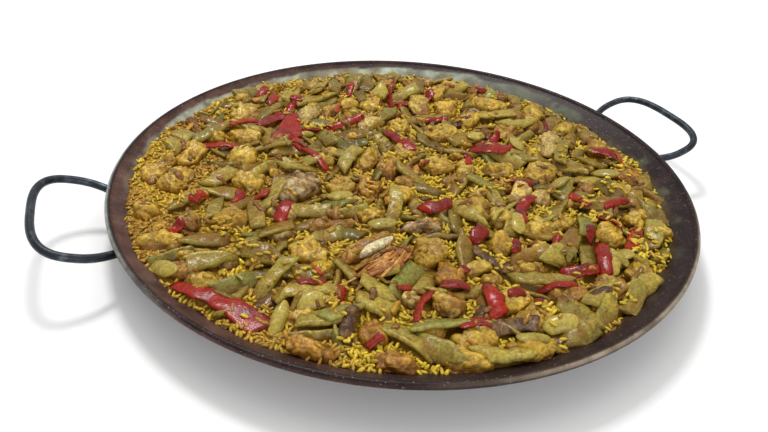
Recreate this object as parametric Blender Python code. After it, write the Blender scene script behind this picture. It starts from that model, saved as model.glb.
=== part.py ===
"""A paella for about sixteen people, in the 60 cm steel pan it is cooked and served in.

The pan is a shallow bowl of steel sheet with a rolled bead round its rim and two rod handles
welded under the bead. The rice fills it as one bed with a gently uneven top. The larger
toppings lie on the bed, each a solid of its own: strips of red pepper, chunks of chicken,
flat green beans, lima beans and slivers of charred aubergine skin.

Metres, +Z up. The origin is the centre of the base's underside, and +X runs through the
middle of the right handle.
"""

import math
from collections import namedtuple

import bmesh
import bpy
from mathutils import Matrix, Vector, noise
from mathutils.bvhtree import BVHTree

MM = 0.001
SHARP_ANGLE = math.radians(40)  # edges that fold more than this are shaded sharp

# The pan.
RIM_RADIUS = 300 * MM  # to the outside of the bead
PAN_HEIGHT = 50 * MM
BASE_RADIUS = 243 * MM
SHEET = 1.5 * MM
BEAD_RADIUS = 3.25 * MM
WALL_FOOT_SLOPE = math.radians(61)  # of the wall from level, where it leaves the base
WALL_LIP_SLOPE = math.radians(30)  # and just under the bead
LIP_INSET = 1.8 * BEAD_RADIUS  # the lip's place inside the rim, hidden in the bead
LIP_DROP = 0.68 * BEAD_RADIUS
WALL_STEPS = 5
BEAD_STEPS = 6
ROUND_STEPS = 64

# The handles, each a rod bent into a flared loop.
ROD_RADIUS = 4 * MM
ROD_SIDES = 8
HANDLE_TURNS = {"handle_right": 0.0, "handle_left": math.radians(176.4)}
HANDLE_TILT = math.radians(18.3)  # upwards and outwards
HANDLE_ROOT_HEIGHT = 33.5 * MM
HANDLE_ROOT_REACH = 277 * MM
HANDLE_WIDEST = {"handle_right": 47.5 * MM, "handle_left": 50.5 * MM}  # out from the root
HANDLE_END = 37.5 * MM  # further out, to the middle of the loop's end
HANDLE_HALF = 65.5 * MM  # across, where it is widest
HANDLE_SQUARE = 2.9  # 2 would be an oval end
HANDLE_TAPER = 0.42  # lost from the half width at the root
SIDE_STEPS = 4
CORNER_STEPS = 6
ROOT_BURIED = 8 * MM  # cut back to the wall afterwards

# The food.
GAP = 0.35 * MM  # between pieces that touch
RICE_TOP = 34.8 * MM  # in the middle
RICE_EDGE = 38.4 * MM  # at the wall
RICE_SWELL = 1.5 * MM
RICE_SWELL_LENGTH = 85 * MM
RICE_RINGS = 8
RICE_RING_STEP = 32 * MM
FOOD_TURN = math.radians(-26.7)  # of the toppings' layout about the pan's axis


# ---------------------------------------------------------------- materials


def hex_linear(code):
    """An sRGB colour such as "c0392b" as linear red, green, blue and alpha."""
    parts = [int(code[i : i + 2], 16) / 255 for i in (0, 2, 4)]
    return [c / 12.92 if c <= 0.04045 else ((c + 0.055) / 1.055) ** 2.4 for c in parts] + [1]


def material(name, code, roughness, metallic=0.0):
    found = bpy.data.materials.get(name)
    if found:
        return found
    made = bpy.data.materials.new(name)
    made.use_nodes = True
    shader = made.node_tree.nodes["Principled BSDF"]
    shader.inputs["Base Color"].default_value = hex_linear(code)
    shader.inputs["Roughness"].default_value = roughness
    shader.inputs["Metallic"].default_value = metallic
    return made


FINISHES = {
    "pan": ("seasoned steel", "3a2b29", 0.35, 0.8),
    "handle": ("blued steel rod", "2b3033", 0.4, 0.8),
    "rice": ("saffron rice", "c2922b", 0.4, 0.0),
    "pepper": ("roast red pepper", "b02318", 0.25, 0.0),
    "chicken": ("fried chicken", "a8702c", 0.4, 0.0),
    "bean": ("stewed flat bean", "6f6a27", 0.35, 0.0),
    "lima": ("lima bean", "b9a25f", 0.4, 0.0),
    "aubergine": ("charred aubergine skin", "2c1710", 0.3, 0.0),
}


# ---------------------------------------------------------------- meshes


def add_object(name, mesh, finish):
    """Links a mesh as a named object, shaded smooth except across sharp edges."""
    mesh.materials.append(material(*FINISHES[finish]))
    mesh.shade_smooth()
    mesh.set_sharp_from_angle(angle=SHARP_ANGLE)
    made = bpy.data.objects.new(name, mesh)
    bpy.context.collection.objects.link(made)
    return made


def turned(name, profile):
    """A mesh turned from (radius, height) points; a point at radius 0 is a pole."""
    bm = bmesh.new()
    rings = []
    for radius, height in profile:
        if radius == 0:
            rings.append([bm.verts.new((0, 0, height))] * ROUND_STEPS)
            continue
        angles = [2 * math.pi * k / ROUND_STEPS for k in range(ROUND_STEPS)]
        ring = [bm.verts.new((radius * math.cos(a), radius * math.sin(a), height)) for a in angles]
        rings.append(ring)
    skin(bm, rings)
    return finished(name, bm)


def skin(bm, rings):
    """Joins each closed ring of vertices to the next; a pole repeats one vertex."""
    for low, high in zip(rings, rings[1:]):
        for k in range(len(low)):
            after = (k + 1) % len(low)
            corners = dict.fromkeys((low[k], low[after], high[after], high[k]))
            bm.faces.new(list(corners))


def finished(name, bm):
    """A triangulated mesh with its faces pointing out."""
    bmesh.ops.triangulate(bm, faces=bm.faces)
    bmesh.ops.recalc_face_normals(bm, faces=bm.faces)
    mesh = bpy.data.meshes.new(name)
    bm.to_mesh(mesh)
    bm.free()
    return mesh


def lofted(name, rings):
    """A mesh through closed rings of points, with a flat cap at each end."""
    bm = bmesh.new()
    made = [[bm.verts.new(p) for p in ring] for ring in rings]
    skin(bm, made)
    bm.faces.new(made[0])
    bm.faces.new(list(reversed(made[-1])))
    return finished(name, bm)


# ---------------------------------------------------------------- pan


def wall_points(steps, outset=0.0):
    """(radius, height) points up the inside of the wall, moved out by outset along its normal."""
    foot = Vector((BASE_RADIUS, SHEET))
    lip = Vector((RIM_RADIUS - LIP_INSET, PAN_HEIGHT - LIP_DROP))
    rise, run = lip.y - foot.y, lip.x - foot.x
    foot_tan, lip_tan = math.tan(WALL_FOOT_SLOPE), math.tan(WALL_LIP_SLOPE)
    reach = (rise - lip_tan * run) / (foot_tan - lip_tan)
    bend = foot + Vector((reach, reach * foot_tan))
    points = []
    for k in range(steps + 1):
        t = k / (steps + 0.5)
        spot = foot * (1 - t) ** 2 + bend * 2 * t * (1 - t) + lip * t**2
        along = ((bend - foot) * (1 - t) + (lip - bend) * t).normalized()
        points.append(spot + Vector((along.y, -along.x)) * outset)
    return points


def bead_points():
    """The bead's round, from where it leaves the wall's outside to where it meets the inside."""
    start, end = math.radians(-135), math.radians(135)
    centre = Vector((RIM_RADIUS - BEAD_RADIUS, PAN_HEIGHT - BEAD_RADIUS))
    angles = [start + (end - start) * k / BEAD_STEPS for k in range(BEAD_STEPS + 1)]
    return [centre + BEAD_RADIUS * Vector((math.cos(a), math.sin(a))) for a in angles]


def pan_profile(grown=0.0):
    """The pan's outside from the middle of the base to the bead, as (radius, height)."""
    outside = wall_points(WALL_STEPS, SHEET + grown)
    outside[0] = Vector((BASE_RADIUS + grown, -grown))
    return [Vector((0, -grown))] + outside


def make_pan():
    inside = wall_points(WALL_STEPS)
    profile = pan_profile() + bead_points() + inside[::-1] + [Vector((0, SHEET))]
    return add_object("pan", turned("pan", profile), "pan")


def make_wall_cutter():
    """The room that the pan takes, GAP larger all round, which the handles' roots are cut by."""
    grown = 1 + GAP / BEAD_RADIUS
    centre = Vector((RIM_RADIUS - BEAD_RADIUS, PAN_HEIGHT - BEAD_RADIUS))
    bead = [centre + (p - centre) * grown for p in bead_points()]
    top = Vector((0, bead[-1].y))
    mesh = turned("pan room", pan_profile(GAP) + bead + [top])
    cutter = bpy.data.objects.new("pan room", mesh)
    bpy.context.collection.objects.link(cutter)
    cutter.hide_render = True
    cutter.display_type = "WIRE"
    return cutter


# ---------------------------------------------------------------- handles


def handle_path(widest):
    """The rod's centre line, with x outwards and y across, in the loop's own tilted plane."""
    points = []
    for k in range(SIDE_STEPS):
        x = -ROOT_BURIED + (widest + ROOT_BURIED) * k / SIDE_STEPS
        points.append(Vector((x, HANDLE_HALF * (1 - HANDLE_TAPER * (1 - x / widest) ** 2))))
    for k in range(CORNER_STEPS + 1):
        angle = math.pi / 2 * (1 - k / CORNER_STEPS)
        c, s = math.cos(angle) / HANDLE_END, math.sin(angle) / HANDLE_HALF
        reach = (abs(c) ** HANDLE_SQUARE + abs(s) ** HANDLE_SQUARE) ** (-1 / HANDLE_SQUARE)
        points.append(Vector((widest + reach * math.cos(angle), reach * math.sin(angle))))
    return points + [Vector((p.x, -p.y)) for p in reversed(points[:-1])]


def rod(name, path, radius, sides):
    """A round rod along a path of points, with flat ends."""
    rings = []
    for k, spot in enumerate(path):
        before, after = path[max(k - 1, 0)], path[min(k + 1, len(path) - 1)]
        along = (after - before).normalized()
        across = Vector((0, 0, 1)).cross(along).normalized()
        up = along.cross(across)
        angles = [2 * math.pi * (s + 0.5) / sides for s in range(sides)]
        rings.append([spot + radius * (across * math.cos(a) + up * math.sin(a)) for a in angles])
    return lofted(name, rings)


def make_handle(name, turn, cutter):
    path = [Vector((p.x, p.y, 0)) for p in handle_path(HANDLE_WIDEST[name])]
    made = add_object(name, rod(name, path, ROD_RADIUS, ROD_SIDES), "handle")
    tilt = Matrix.Rotation(-HANDLE_TILT, 4, "Y")
    place = Matrix.Translation((HANDLE_ROOT_REACH, 0, HANDLE_ROOT_HEIGHT)) @ tilt
    made.matrix_world = Matrix.Rotation(turn, 4, "Z") @ place
    cut = made.modifiers.new("cut to the wall", "BOOLEAN")
    cut.operation = "DIFFERENCE"
    cut.object = cutter
    return made


# ---------------------------------------------------------------- rice


def rice_height(x, y):
    """The bed's top: a gentle swell that rises a little towards the wall."""
    spot = Vector((x, y, 0)) / RICE_SWELL_LENGTH
    rise = (math.hypot(x, y) / BASE_RADIUS) ** 6
    level = RICE_TOP + (RICE_EDGE - RICE_TOP) * min(rise, 1)
    return level + RICE_SWELL * noise.noise(spot)


def make_rice():
    """One bed, clear of the pan by GAP, whose edge climbs the wall unevenly."""
    wall = [p for p in wall_points(WALL_STEPS, -GAP) if p.y < RICE_EDGE - RICE_SWELL]
    angles = [2 * math.pi * k / ROUND_STEPS for k in range(ROUND_STEPS)]
    bm = bmesh.new()
    floor = SHEET + GAP
    rings = [[bm.verts.new((0, 0, floor))] * ROUND_STEPS]
    wall[0] = Vector((BASE_RADIUS - GAP, floor))
    for radius, height in wall:
        ring = [bm.verts.new((radius * math.cos(a), radius * math.sin(a), height)) for a in angles]
        rings.append(ring)
    edge = []
    for a in angles:
        height = rice_height(BASE_RADIUS * math.cos(a), BASE_RADIUS * math.sin(a))
        radius = wall_radius(height) - 2 * GAP
        edge.append(bm.verts.new((radius * math.cos(a), radius * math.sin(a), height)))
    rings.append(edge)
    for k in range(RICE_RINGS, 0, -1):
        radius = RICE_RING_STEP * k
        spots = [(radius * math.cos(a), radius * math.sin(a)) for a in angles]
        rings.append([bm.verts.new((x, y, rice_height(x, y))) for x, y in spots])
    rings.append([bm.verts.new((0, 0, rice_height(0, 0)))] * ROUND_STEPS)
    skin(bm, rings)
    return add_object("rice_bed", finished("rice_bed", bm), "rice")


def wall_radius(height):
    """The radius of the inside of the wall at a height, along its facets."""
    points = wall_points(WALL_STEPS)
    for low, high in zip(points, points[1:]):
        if low.y <= height <= high.y:
            return low.x + (high.x - low.x) * (height - low.y) / (high.y - low.y)
    raise ValueError(f"the wall has no height {height}")


# ---------------------------------------------------------------- toppings

# Places and sizes are in millimetres, in the layout's own axes, and turns in degrees.
Chunk = namedtuple("Chunk", "x y turn length width height")
Strip = namedtuple("Strip", "x y turn length start end thick arch bend")
Bean = namedtuple("Bean", "x y turn length width thick arch bend")

CHICKEN = [
    Chunk(-112, -29, 84, 68, 42, 10.5),
    Chunk(-164, -99, 80, 42, 36, 10.0),
    Chunk(-80, -139, 80, 48, 41, 10.5),
    Chunk(-63, -94, 15, 54, 21, 8.5),
    Chunk(-25, -129, 46, 72, 22, 8.0),
    Chunk(-184, 62, -10, 46, 31, 9.5),
    Chunk(-199, 122, 30, 48, 33, 9.5),
    Chunk(-75, 171, 84, 50, 28, 10.0),
    Chunk(-42, 37, 78, 46, 29, 9.5),
    Chunk(13, 179, 88, 52, 27, 10.0),
    Chunk(106, 197, -8, 56, 33, 10.0),
    Chunk(119, 124, 80, 52, 28, 9.5),
    Chunk(170, 101, 74, 58, 37, 10.2),
    Chunk(104, 37, 18, 44, 32, 9.5),
    Chunk(40, 112, 15, 46, 38, 10.0),
    Chunk(36, 35, 60, 40, 36, 9.5),
    Chunk(77, -44, 86, 48, 33, 10.5),
    Chunk(20, -83, 5, 41, 29, 9.5),
    Chunk(237, -45, 75, 42, 26, 9.0),
    Chunk(120, -206, 40, 38, 31, 9.2),
]

PEPPERS = [
    Strip(-143, -223.5, -24, 92, 7, 30, 3.6, 4.0, 2),
    Strip(-163, 111, 63, 54, 13, 16, 3.4, 3.5, -2),
    Strip(-136, 97, 92, 58, 31, 12, 3.6, 4.0, 3),
    Strip(-104, 35, -47, 66, 8, 12, 3.2, 3.0, -4),
    Strip(-76, 114, 26, 52, 6, 16, 3.4, 4.0, 3),
    Strip(-205, 34, 8, 36, 13, 14, 3.4, 3.0, 0),
    Strip(-170, 158, 80, 32, 14, 17, 3.2, 2.5, 0),
    Strip(-20, 203, 92, 60, 9, 5, 3.0, 3.0, 2),
    Strip(-9, 76, -54, 54, 12, 14, 3.4, 4.0, 2),
    Strip(98, 79, -15, 44, 24, 26, 3.6, 4.5, 0),
    Strip(127, 8, -20, 26, 12, 13, 3.4, 2.5, 0),
    Strip(227, 80, -32, 32, 16, 18, 3.4, 3.0, 0),
    Strip(37, -46, 32, 36, 22, 12, 3.6, 4.0, 0),
    Strip(132, -46, 68, 46, 13, 14, 3.6, 4.0, 5),
    Strip(74, -93, 62, 26, 14, 18, 3.6, 3.0, 0),
    Strip(193, -118, 87, 50, 13, 15, 3.4, 4.0, 3),
    Strip(166, -142, 18, 34, 12, 16, 3.4, 3.5, 2),
    Strip(227, -86, 66, 44, 11, 13, 3.4, 3.5, 3),
    Strip(85, -188, -78, 38, 17, 20, 3.6, 3.5, 0),
    Strip(29, -205, 72, 48, 8, 10, 3.4, 4.0, 3),
]

BEANS = [
    Bean(-180, -138, 14, 46, 17, 8.0, 2.0, 2),
    Bean(-127, -188, 42, 52, 15, 7.0, 2.0, 2),
    Bean(-88, -205, 12, 43, 22, 8.0, 1.5, 2),
    Bean(-15, -203, -26, 33, 21, 7.5, 1.0, 0),
    Bean(13, -248, -32, 46, 16, 7.0, 1.5, 2),
    Bean(-137, -124, 72, 36, 18, 7.5, 1.0, 0),
    Bean(-70, -57, -10, 34, 17, 7.5, 1.0, 1),
    Bean(127, -158, -8, 50, 12, 6.5, 3.0, 4),
    Bean(153, -198, -58, 38, 16, 7.0, 1.0, 2),
    Bean(188, -57, 80, 56, 17, 8.0, 2.5, 3),
    Bean(170, 2, 70, 32, 19, 8.5, 1.5, 0),
    Bean(-73, 70, -25, 44, 15, 7.5, 2.0, 2),
]

LIMAS = [
    Chunk(-16, -90, 15, 29, 23, 9.0),
    Chunk(222, 36, -25, 32, 24, 9.5),
]

AUBERGINE = [
    Strip(86, -130, -47, 48, 14, 16, 4.0, 3.0, 3),
    Strip(-31, -236, 85, 36, 11, 12, 3.6, 2.5, 2),
]

CHUNK_SIDES = 10
LIMA_SIDES = 12
SECTION_SIDES = 8
STRIP_STATIONS = 6
BEAN_STATIONS = 5


def squircle(angle, power):
    """The radius at an angle of a rounded square of half side 1; power 2 is a circle."""
    c, s = abs(math.cos(angle)), abs(math.sin(angle))
    return (c**power + s**power) ** (-1 / power)


def chunk_mesh(name, row, number):
    """A torn lump: an uneven outline on a flat foot, widest low down, with a broad top."""
    levels = [(0.0, 0.84), (0.34, 1.0), (0.74, 0.84), (0.96, 0.46)]
    rings = []
    for level, spread in levels:
        ring = []
        for k in range(CHUNK_SIDES):
            angle = 2 * math.pi * k / CHUNK_SIDES
            bulge = noise.noise(Vector((math.cos(angle), math.sin(angle), 3.7 * number + level)))
            radius = squircle(angle, 2.6) * spread * (0.93 + 0.16 * bulge)
            lift = row.height * level * (1 - 0.10 * math.cos(angle + number))
            ring.append(Vector((
                radius * math.cos(angle) * row.length / 2,
                radius * math.sin(angle) * row.width / 2,
                lift,
            )) * MM)
        rings.append(ring)
    return lofted(name, rings)


def lima_mesh(name, row, number):
    """A plump flat bean, its outline dented on one long side like a kidney."""
    levels = [(0.0, 0.50), (0.25, 0.93), (0.55, 1.0), (0.85, 0.80), (1.0, 0.40)]
    rings = []
    for level, spread in levels:
        ring = []
        for k in range(LIMA_SIDES):
            angle = 2 * math.pi * k / LIMA_SIDES
            dent = 1 - 0.16 * math.exp(-((angle - 1.5 * math.pi) / 0.5) ** 2)
            radius = spread * dent
            ring.append(Vector((
                radius * math.cos(angle) * row.length / 2,
                radius * math.sin(angle) * row.width / 2,
                level * row.height,
            )) * MM)
        rings.append(ring)
    return lofted(name, rings)


def strip_mesh(name, row, number):
    """A strip of flesh that tapers, arches over the rice and cups along its length."""
    rings = []
    for s in range(STRIP_STATIONS):
        t = s / (STRIP_STATIONS - 1)
        end = 1 - 0.45 * abs(2 * t - 1) ** 6
        half = (row.start + (row.end - row.start) * t) / 2 * end
        wave = noise.noise(Vector((2.3 * t, 5.1 * number, 0)))
        middle = Vector((
            (t - 0.5) * row.length,
            row.bend * (1 - (2 * t - 1) ** 2) + 1.2 * wave,
            row.arch * (1 - (2 * t - 1) ** 2),
        ))
        ring = []
        for k in range(SECTION_SIDES):
            angle = 2 * math.pi * k / SECTION_SIDES
            across = half * math.cos(angle)
            cup = -0.10 * half * math.cos(angle) ** 2
            up = row.thick / 2 * math.sin(angle) + cup
            ring.append((middle + Vector((0, across, up))) * MM)
        rings.append(ring)
    return lofted(name, rings)


def bean_mesh(name, row, number):
    """A length of flat bean pod: a lens in section, cut slantwise at both ends."""
    rings = []
    for s in range(BEAN_STATIONS):
        t = s / (BEAN_STATIONS - 1)
        swell = 1 - 0.16 * (2 * t - 1) ** 2 + 0.05 * math.sin(7 * t + number)
        ring = []
        for k in range(SECTION_SIDES):
            angle = 2 * math.pi * k / SECTION_SIDES
            across = row.width / 2 * swell * math.cos(angle)
            slant = 0.35 * across * (1 - 2 * t) * (1 if number % 2 else -1)
            ring.append(Vector((
                (t - 0.5) * row.length + slant,
                across + row.bend * (1 - (2 * t - 1) ** 2),
                row.thick / 2 * math.sin(angle) + row.arch * (1 - (2 * t - 1) ** 2),
            )) * MM)
        rings.append(ring)
    return lofted(name, rings)


def clearance(piece, bed_tree, bed_spots):
    """The least height of a piece above the bed, from the piece's vertices and the bed's."""
    place = piece.matrix_world
    spots = [place @ v.co for v in piece.data.vertices]
    faces = [list(p.vertices) for p in piece.data.polygons]
    tree = BVHTree.FromPolygons(spots, faces)
    down, up = Vector((0, 0, -1)), Vector((0, 0, 1))
    gaps = []
    for spot in spots:
        hit = bed_tree.ray_cast(spot + up, down)[0]
        gaps.append(spot.z - hit.z)
    centre = sum(spots, Vector()) / len(spots)
    reach = max((p - centre).to_2d().length for p in spots)
    for spot in bed_spots:
        if (spot - centre).to_2d().length < reach:
            hit = tree.ray_cast(spot - up, up)[0]
            if hit:
                gaps.append(hit.z - spot.z)
    return min(gaps)


def make_toppings(rice):
    """Every topping, turned with the layout and let down until it meets the rice."""
    layout = bpy.data.objects.new("layout", None)
    bpy.context.collection.objects.link(layout)
    layout.rotation_euler.z = FOOD_TURN
    bed_spots = [v.co.copy() for v in rice.data.vertices if v.co.z > RICE_TOP / 2]
    bed_faces = [list(p.vertices) for p in rice.data.polygons]
    bed_tree = BVHTree.FromPolygons([v.co for v in rice.data.vertices], bed_faces)
    kinds = (
        ("chicken", CHICKEN, chunk_mesh, "chicken"),
        ("pepper", PEPPERS, strip_mesh, "pepper"),
        ("bean", BEANS, bean_mesh, "bean"),
        ("lima", LIMAS, lima_mesh, "lima"),
        ("aubergine", AUBERGINE, strip_mesh, "aubergine"),
    )
    for kind, rows, shape, finish in kinds:
        for number, row in enumerate(rows, start=1):
            name = f"{kind}_{number:02d}"
            piece = add_object(name, shape(name, row, number), finish)
            piece.parent = layout
            piece.location = Vector((row.x, row.y, 0)) * MM
            piece.rotation_euler.z = math.radians(row.turn)
            bpy.context.view_layer.update()
            piece.location.z = GAP - clearance(piece, bed_tree, bed_spots)


def main():
    for old in list(bpy.data.objects):
        bpy.data.objects.remove(old)
    make_pan()
    cutter = make_wall_cutter()
    for name, turn in HANDLE_TURNS.items():
        make_handle(name, turn, cutter)
    make_toppings(make_rice())
    bpy.context.view_layer.update()


main()
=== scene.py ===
"""The looks of a paella in its 60 cm steel pan.

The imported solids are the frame: the pan, its two handles, the bed of rice and the larger
toppings. Each solid is replaced here by a finished piece in the same place, and further
toppings, scraps and loose grains are laid between and over them. Every piece of food is let
down on a height map of the food under it, so the heap is built up as a cook would fill it.
"""

import math

import bpy
import numpy as np
from mathutils import Matrix, Vector
from mathutils.bvhtree import BVHTree


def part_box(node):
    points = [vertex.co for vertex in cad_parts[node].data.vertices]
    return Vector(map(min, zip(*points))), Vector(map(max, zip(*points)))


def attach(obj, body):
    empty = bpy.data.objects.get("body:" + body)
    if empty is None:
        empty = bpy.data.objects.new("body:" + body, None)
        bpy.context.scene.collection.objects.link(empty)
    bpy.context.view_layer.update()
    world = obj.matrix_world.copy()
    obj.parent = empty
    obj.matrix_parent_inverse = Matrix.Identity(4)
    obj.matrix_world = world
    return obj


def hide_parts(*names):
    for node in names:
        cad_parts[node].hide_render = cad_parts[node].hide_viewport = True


bl_info = {
    "name": "Paella in its pan",
    "version": (1, 0, 0),
    "blender": (4, 5, 0),
    "location": "3D View > Sidebar > Paella",
    "description": "Builds a paella in its steel pan around the packed frame",
    "category": "Object",
}

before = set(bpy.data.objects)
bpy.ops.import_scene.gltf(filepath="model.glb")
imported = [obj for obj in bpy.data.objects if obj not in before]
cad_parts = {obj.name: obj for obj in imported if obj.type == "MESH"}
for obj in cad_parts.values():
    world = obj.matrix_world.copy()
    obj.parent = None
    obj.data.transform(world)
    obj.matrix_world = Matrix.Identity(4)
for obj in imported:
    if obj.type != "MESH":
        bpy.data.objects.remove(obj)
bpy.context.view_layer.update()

MM = 0.001
SEED = 20
LAYOUT_TURN = math.radians(-26.7)  # of the food's layout about the pan's axis


# ---------------------------------------------------------------- colours and properties


def linear(code):
    """An sRGB colour such as "c2922b" as linear red, green and blue."""
    parts = np.array([int(code[i : i + 2], 16) for i in (0, 2, 4)]) / 255
    return tuple(np.where(parts <= 0.04045, parts / 12.92, ((parts + 0.055) / 1.055) ** 2.4).tolist())


def size_of(name, mm, description):
    """A size, from millimetres."""
    return bpy.props.FloatProperty(
        name=name, description=description, default=mm * MM, min=0, unit="LENGTH", precision=4
    )


def colour_of(name, code, description):
    """A colour, from its sRGB hex value."""
    return bpy.props.FloatVectorProperty(
        name=name, description=description, default=linear(code), size=3, min=0, max=1, subtype="COLOR"
    )


def count_of(name, number, description):
    """A number of things."""
    return bpy.props.IntProperty(name=name, description=description, default=number, min=0)


class PaellaPan(bpy.types.PropertyGroup):
    """The pan and its handles."""

    sheet: size_of("Sheet", 1.5, "Thickness of the pan's steel sheet")
    bead: size_of("Bead", 6.5, "Diameter of the rolled bead round the rim")
    rod: size_of("Rod", 8, "Diameter of the handles' rod")
    foot_slope: bpy.props.FloatProperty(
        name="Foot slope", description="Slope of the wall where it leaves the base",
        default=math.radians(61), subtype="ANGLE",
    )
    lip_slope: bpy.props.FloatProperty(
        name="Lip slope", description="Slope of the wall just under the bead",
        default=math.radians(30), subtype="ANGLE",
    )
    steel: colour_of("Seasoned steel", "2a1c1d", "The pan's dark seasoned steel")
    rust_brown: colour_of("Burnt oil", "60443b", "Oil burnt on to the left of the wall")
    residue: colour_of("Stock residue", "a4ab98", "Dried stock on the wall at the back")
    patina: colour_of("Green patina", "4e5440", "Greenish patches on the wall at the right")
    # Besides the spatters, this colour is painted on the bead at the left as a painted highlight.
    worn: colour_of("Worn steel", "9ba39c", "Bare steel where the bead is worn")
    rod_steel: colour_of("Blued rod", "2b2f36", "The handles' blued steel")


class PaellaRice(bpy.types.PropertyGroup):
    """The rice."""

    grain_length: size_of("Grain length", 7.6, "Length of a cooked grain")
    grain_width: size_of("Grain width", 3.2, "Width of a cooked grain")
    rounds: count_of("Rounds", 14, "Rounds of grains dropped on the bed")
    clusters: count_of("Clusters", 150, "Clusters of loose grains on top of the toppings")
    dry: colour_of("Dry rice", "dcc038", "Saffron rice where it is dry")
    soaked: colour_of("Soaked rice", "b08630", "Rice soaked in stock")
    # Kept darker than the dry grains, a painted shade for the gaps between them.
    bed: colour_of("Rice bed", "ac8230", "The rice seen between the grains")


class PaellaToppings(bpy.types.PropertyGroup):
    """The toppings."""

    golden: colour_of("Golden crust", "c99a2e", "Scraps of chicken fried golden")
    # Also painted into the creases of each chunk as painted shade.
    crust: colour_of("Brown crust", "683c12", "Chicken where it is browned")
    flesh: colour_of("Pale flesh", "e8deb4", "Chicken where it is torn open")
    bean: colour_of("Flat bean", "9c8a38", "Stewed flat bean")
    bean_green: colour_of("Green bean", "84843a", "Flat bean that kept its green")
    bean_brown: colour_of("Brown bean", "86661e", "Flat bean soaked in stock")
    pepper: colour_of("Red pepper", "8e1c0a", "Roast red pepper")
    lima: colour_of("Lima bean", "b39f48", "Lima bean")
    char: colour_of("Charred skin", "50341e", "Charred aubergine skin")
    sauce: colour_of("Sauce", "845018", "Saffron and tomato sauce that clings to everything")
    tucked: count_of("Tucked pieces", 600, "Chunks tried in the gaps; four times as many pods are")
    rim_pods: count_of("Pods at the wall", 150, "Places along the wall tried for pods")
    scraps: count_of("Scraps", 260, "Scraps strewn over the rice")


GROUPS = {"paella_pan": PaellaPan, "paella_rice": PaellaRice, "paella_toppings": PaellaToppings}


# ---------------------------------------------------------------- noise


def hashed(cells, seed):
    """A repeatable value from -1 to 1 for each row of whole numbers."""
    mixed = cells @ np.array([73856093, 19349663, 83492791]) + seed * 40503
    mixed = (mixed ^ (mixed >> 13)) * 1274126177
    return ((mixed ^ (mixed >> 16)) & 0xFFFF) / 32767.5 - 1


def noise(points, seed=0):
    """Smooth noise from -1 to 1 at each point, with features about one unit apart."""
    points = np.asarray(points, float)
    base = np.floor(points).astype(np.int64)
    share = points - base
    share = share * share * (3 - 2 * share)
    total = np.zeros(points.shape[:-1])
    for corner in np.ndindex(2, 2, 2):
        weight = np.where(np.array(corner, bool), share, 1 - share).prod(-1)
        total += weight * hashed(base + np.array(corner), seed)
    return total


def layered(points, octaves, seed=0):
    """Noise with finer and weaker noise on top of it."""
    points = np.asarray(points, float)
    return sum(noise(points * 2**k, seed + 7 * k) / 2**k for k in range(octaves))


def flat_noise(x, y, size, seed=0):
    """Noise over the plan, with features of a size."""
    return noise(np.stack([x / size, y / size, np.full(np.shape(x), 0.37)], -1), seed)


def line_noise(seed, x, y=0.0, z=0.0):
    """Noise along a line of stations, x being a column of them, as a column."""
    return noise(np.concatenate(np.broadcast_arrays(x, y, z), 1), seed)[:, None]


def smooth(low, high, value):
    """0 below low and 1 above high, with a soft step between."""
    share = np.clip((np.asarray(value, float) - low) / (high - low), 0, 1)
    return share * share * (3 - 2 * share)


# ---------------------------------------------------------------- mesh building


def grid_faces(rows, columns, closed=True):
    """Triangles between the rows of a grid of points, each row closed on itself or left open."""
    around = columns if closed else columns - 1
    low = np.arange(rows - 1)[:, None] * columns + np.arange(around)
    after = np.arange(rows - 1)[:, None] * columns + (np.arange(around) + 1) % columns
    first = np.stack([low, after, after + columns], -1).reshape(-1, 3)
    second = np.stack([low, after + columns, low + columns], -1).reshape(-1, 3)
    return np.concatenate([first, second])


def capped(rings):
    """Points and triangles of a closed skin over rings (rows, columns, 3), a fan at each end."""
    rows, columns = rings.shape[:2]
    points = np.concatenate([rings.reshape(-1, 3), rings[:1].mean(1), rings[-1:].mean(1)])
    around = np.arange(columns)
    after = (around + 1) % columns
    last = (rows - 1) * columns
    first_fan = np.stack([after, around, np.full(columns, rows * columns)], -1)
    last_fan = np.stack([around + last, after + last, np.full(columns, rows * columns + 1)], -1)
    faces = np.concatenate([grid_faces(rows, columns), first_fan, last_fan])
    return outward(points, faces)


def outward(points, faces):
    """The same closed mesh with its faces pointing out."""
    a, b, c = (points[faces[:, k]] for k in range(3))
    if np.einsum("ij,ij->", a, np.cross(b, c)) < 0:
        faces = faces[:, ::-1]
    return points, faces


def rounded_block(steps):
    """A sphere of six welded square grids, whose faces are all about the same size."""
    line = np.tan(np.linspace(-math.pi / 4, math.pi / 4, steps + 1))
    u, v = (a.ravel() for a in np.meshgrid(line, line, indexing="ij"))
    sheet = grid_faces(steps + 1, steps + 1, closed=False)
    points, faces = [], []
    for axis in range(3):
        for side in (-1, 1):
            spot = np.empty((len(u), 3))
            spot[:, axis], spot[:, (axis + 1) % 3], spot[:, (axis + 2) % 3] = side, u, v
            faces.append((sheet if side > 0 else sheet[:, ::-1]) + len(points) * len(u))
            points.append(spot)
    points = np.concatenate(points)
    _, kept, merged = np.unique(points.round(6), axis=0, return_index=True, return_inverse=True)
    points = points[kept]
    faces = merged.ravel()[np.concatenate(faces)]
    return outward(points / np.linalg.norm(points, axis=1, keepdims=True), faces)


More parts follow.
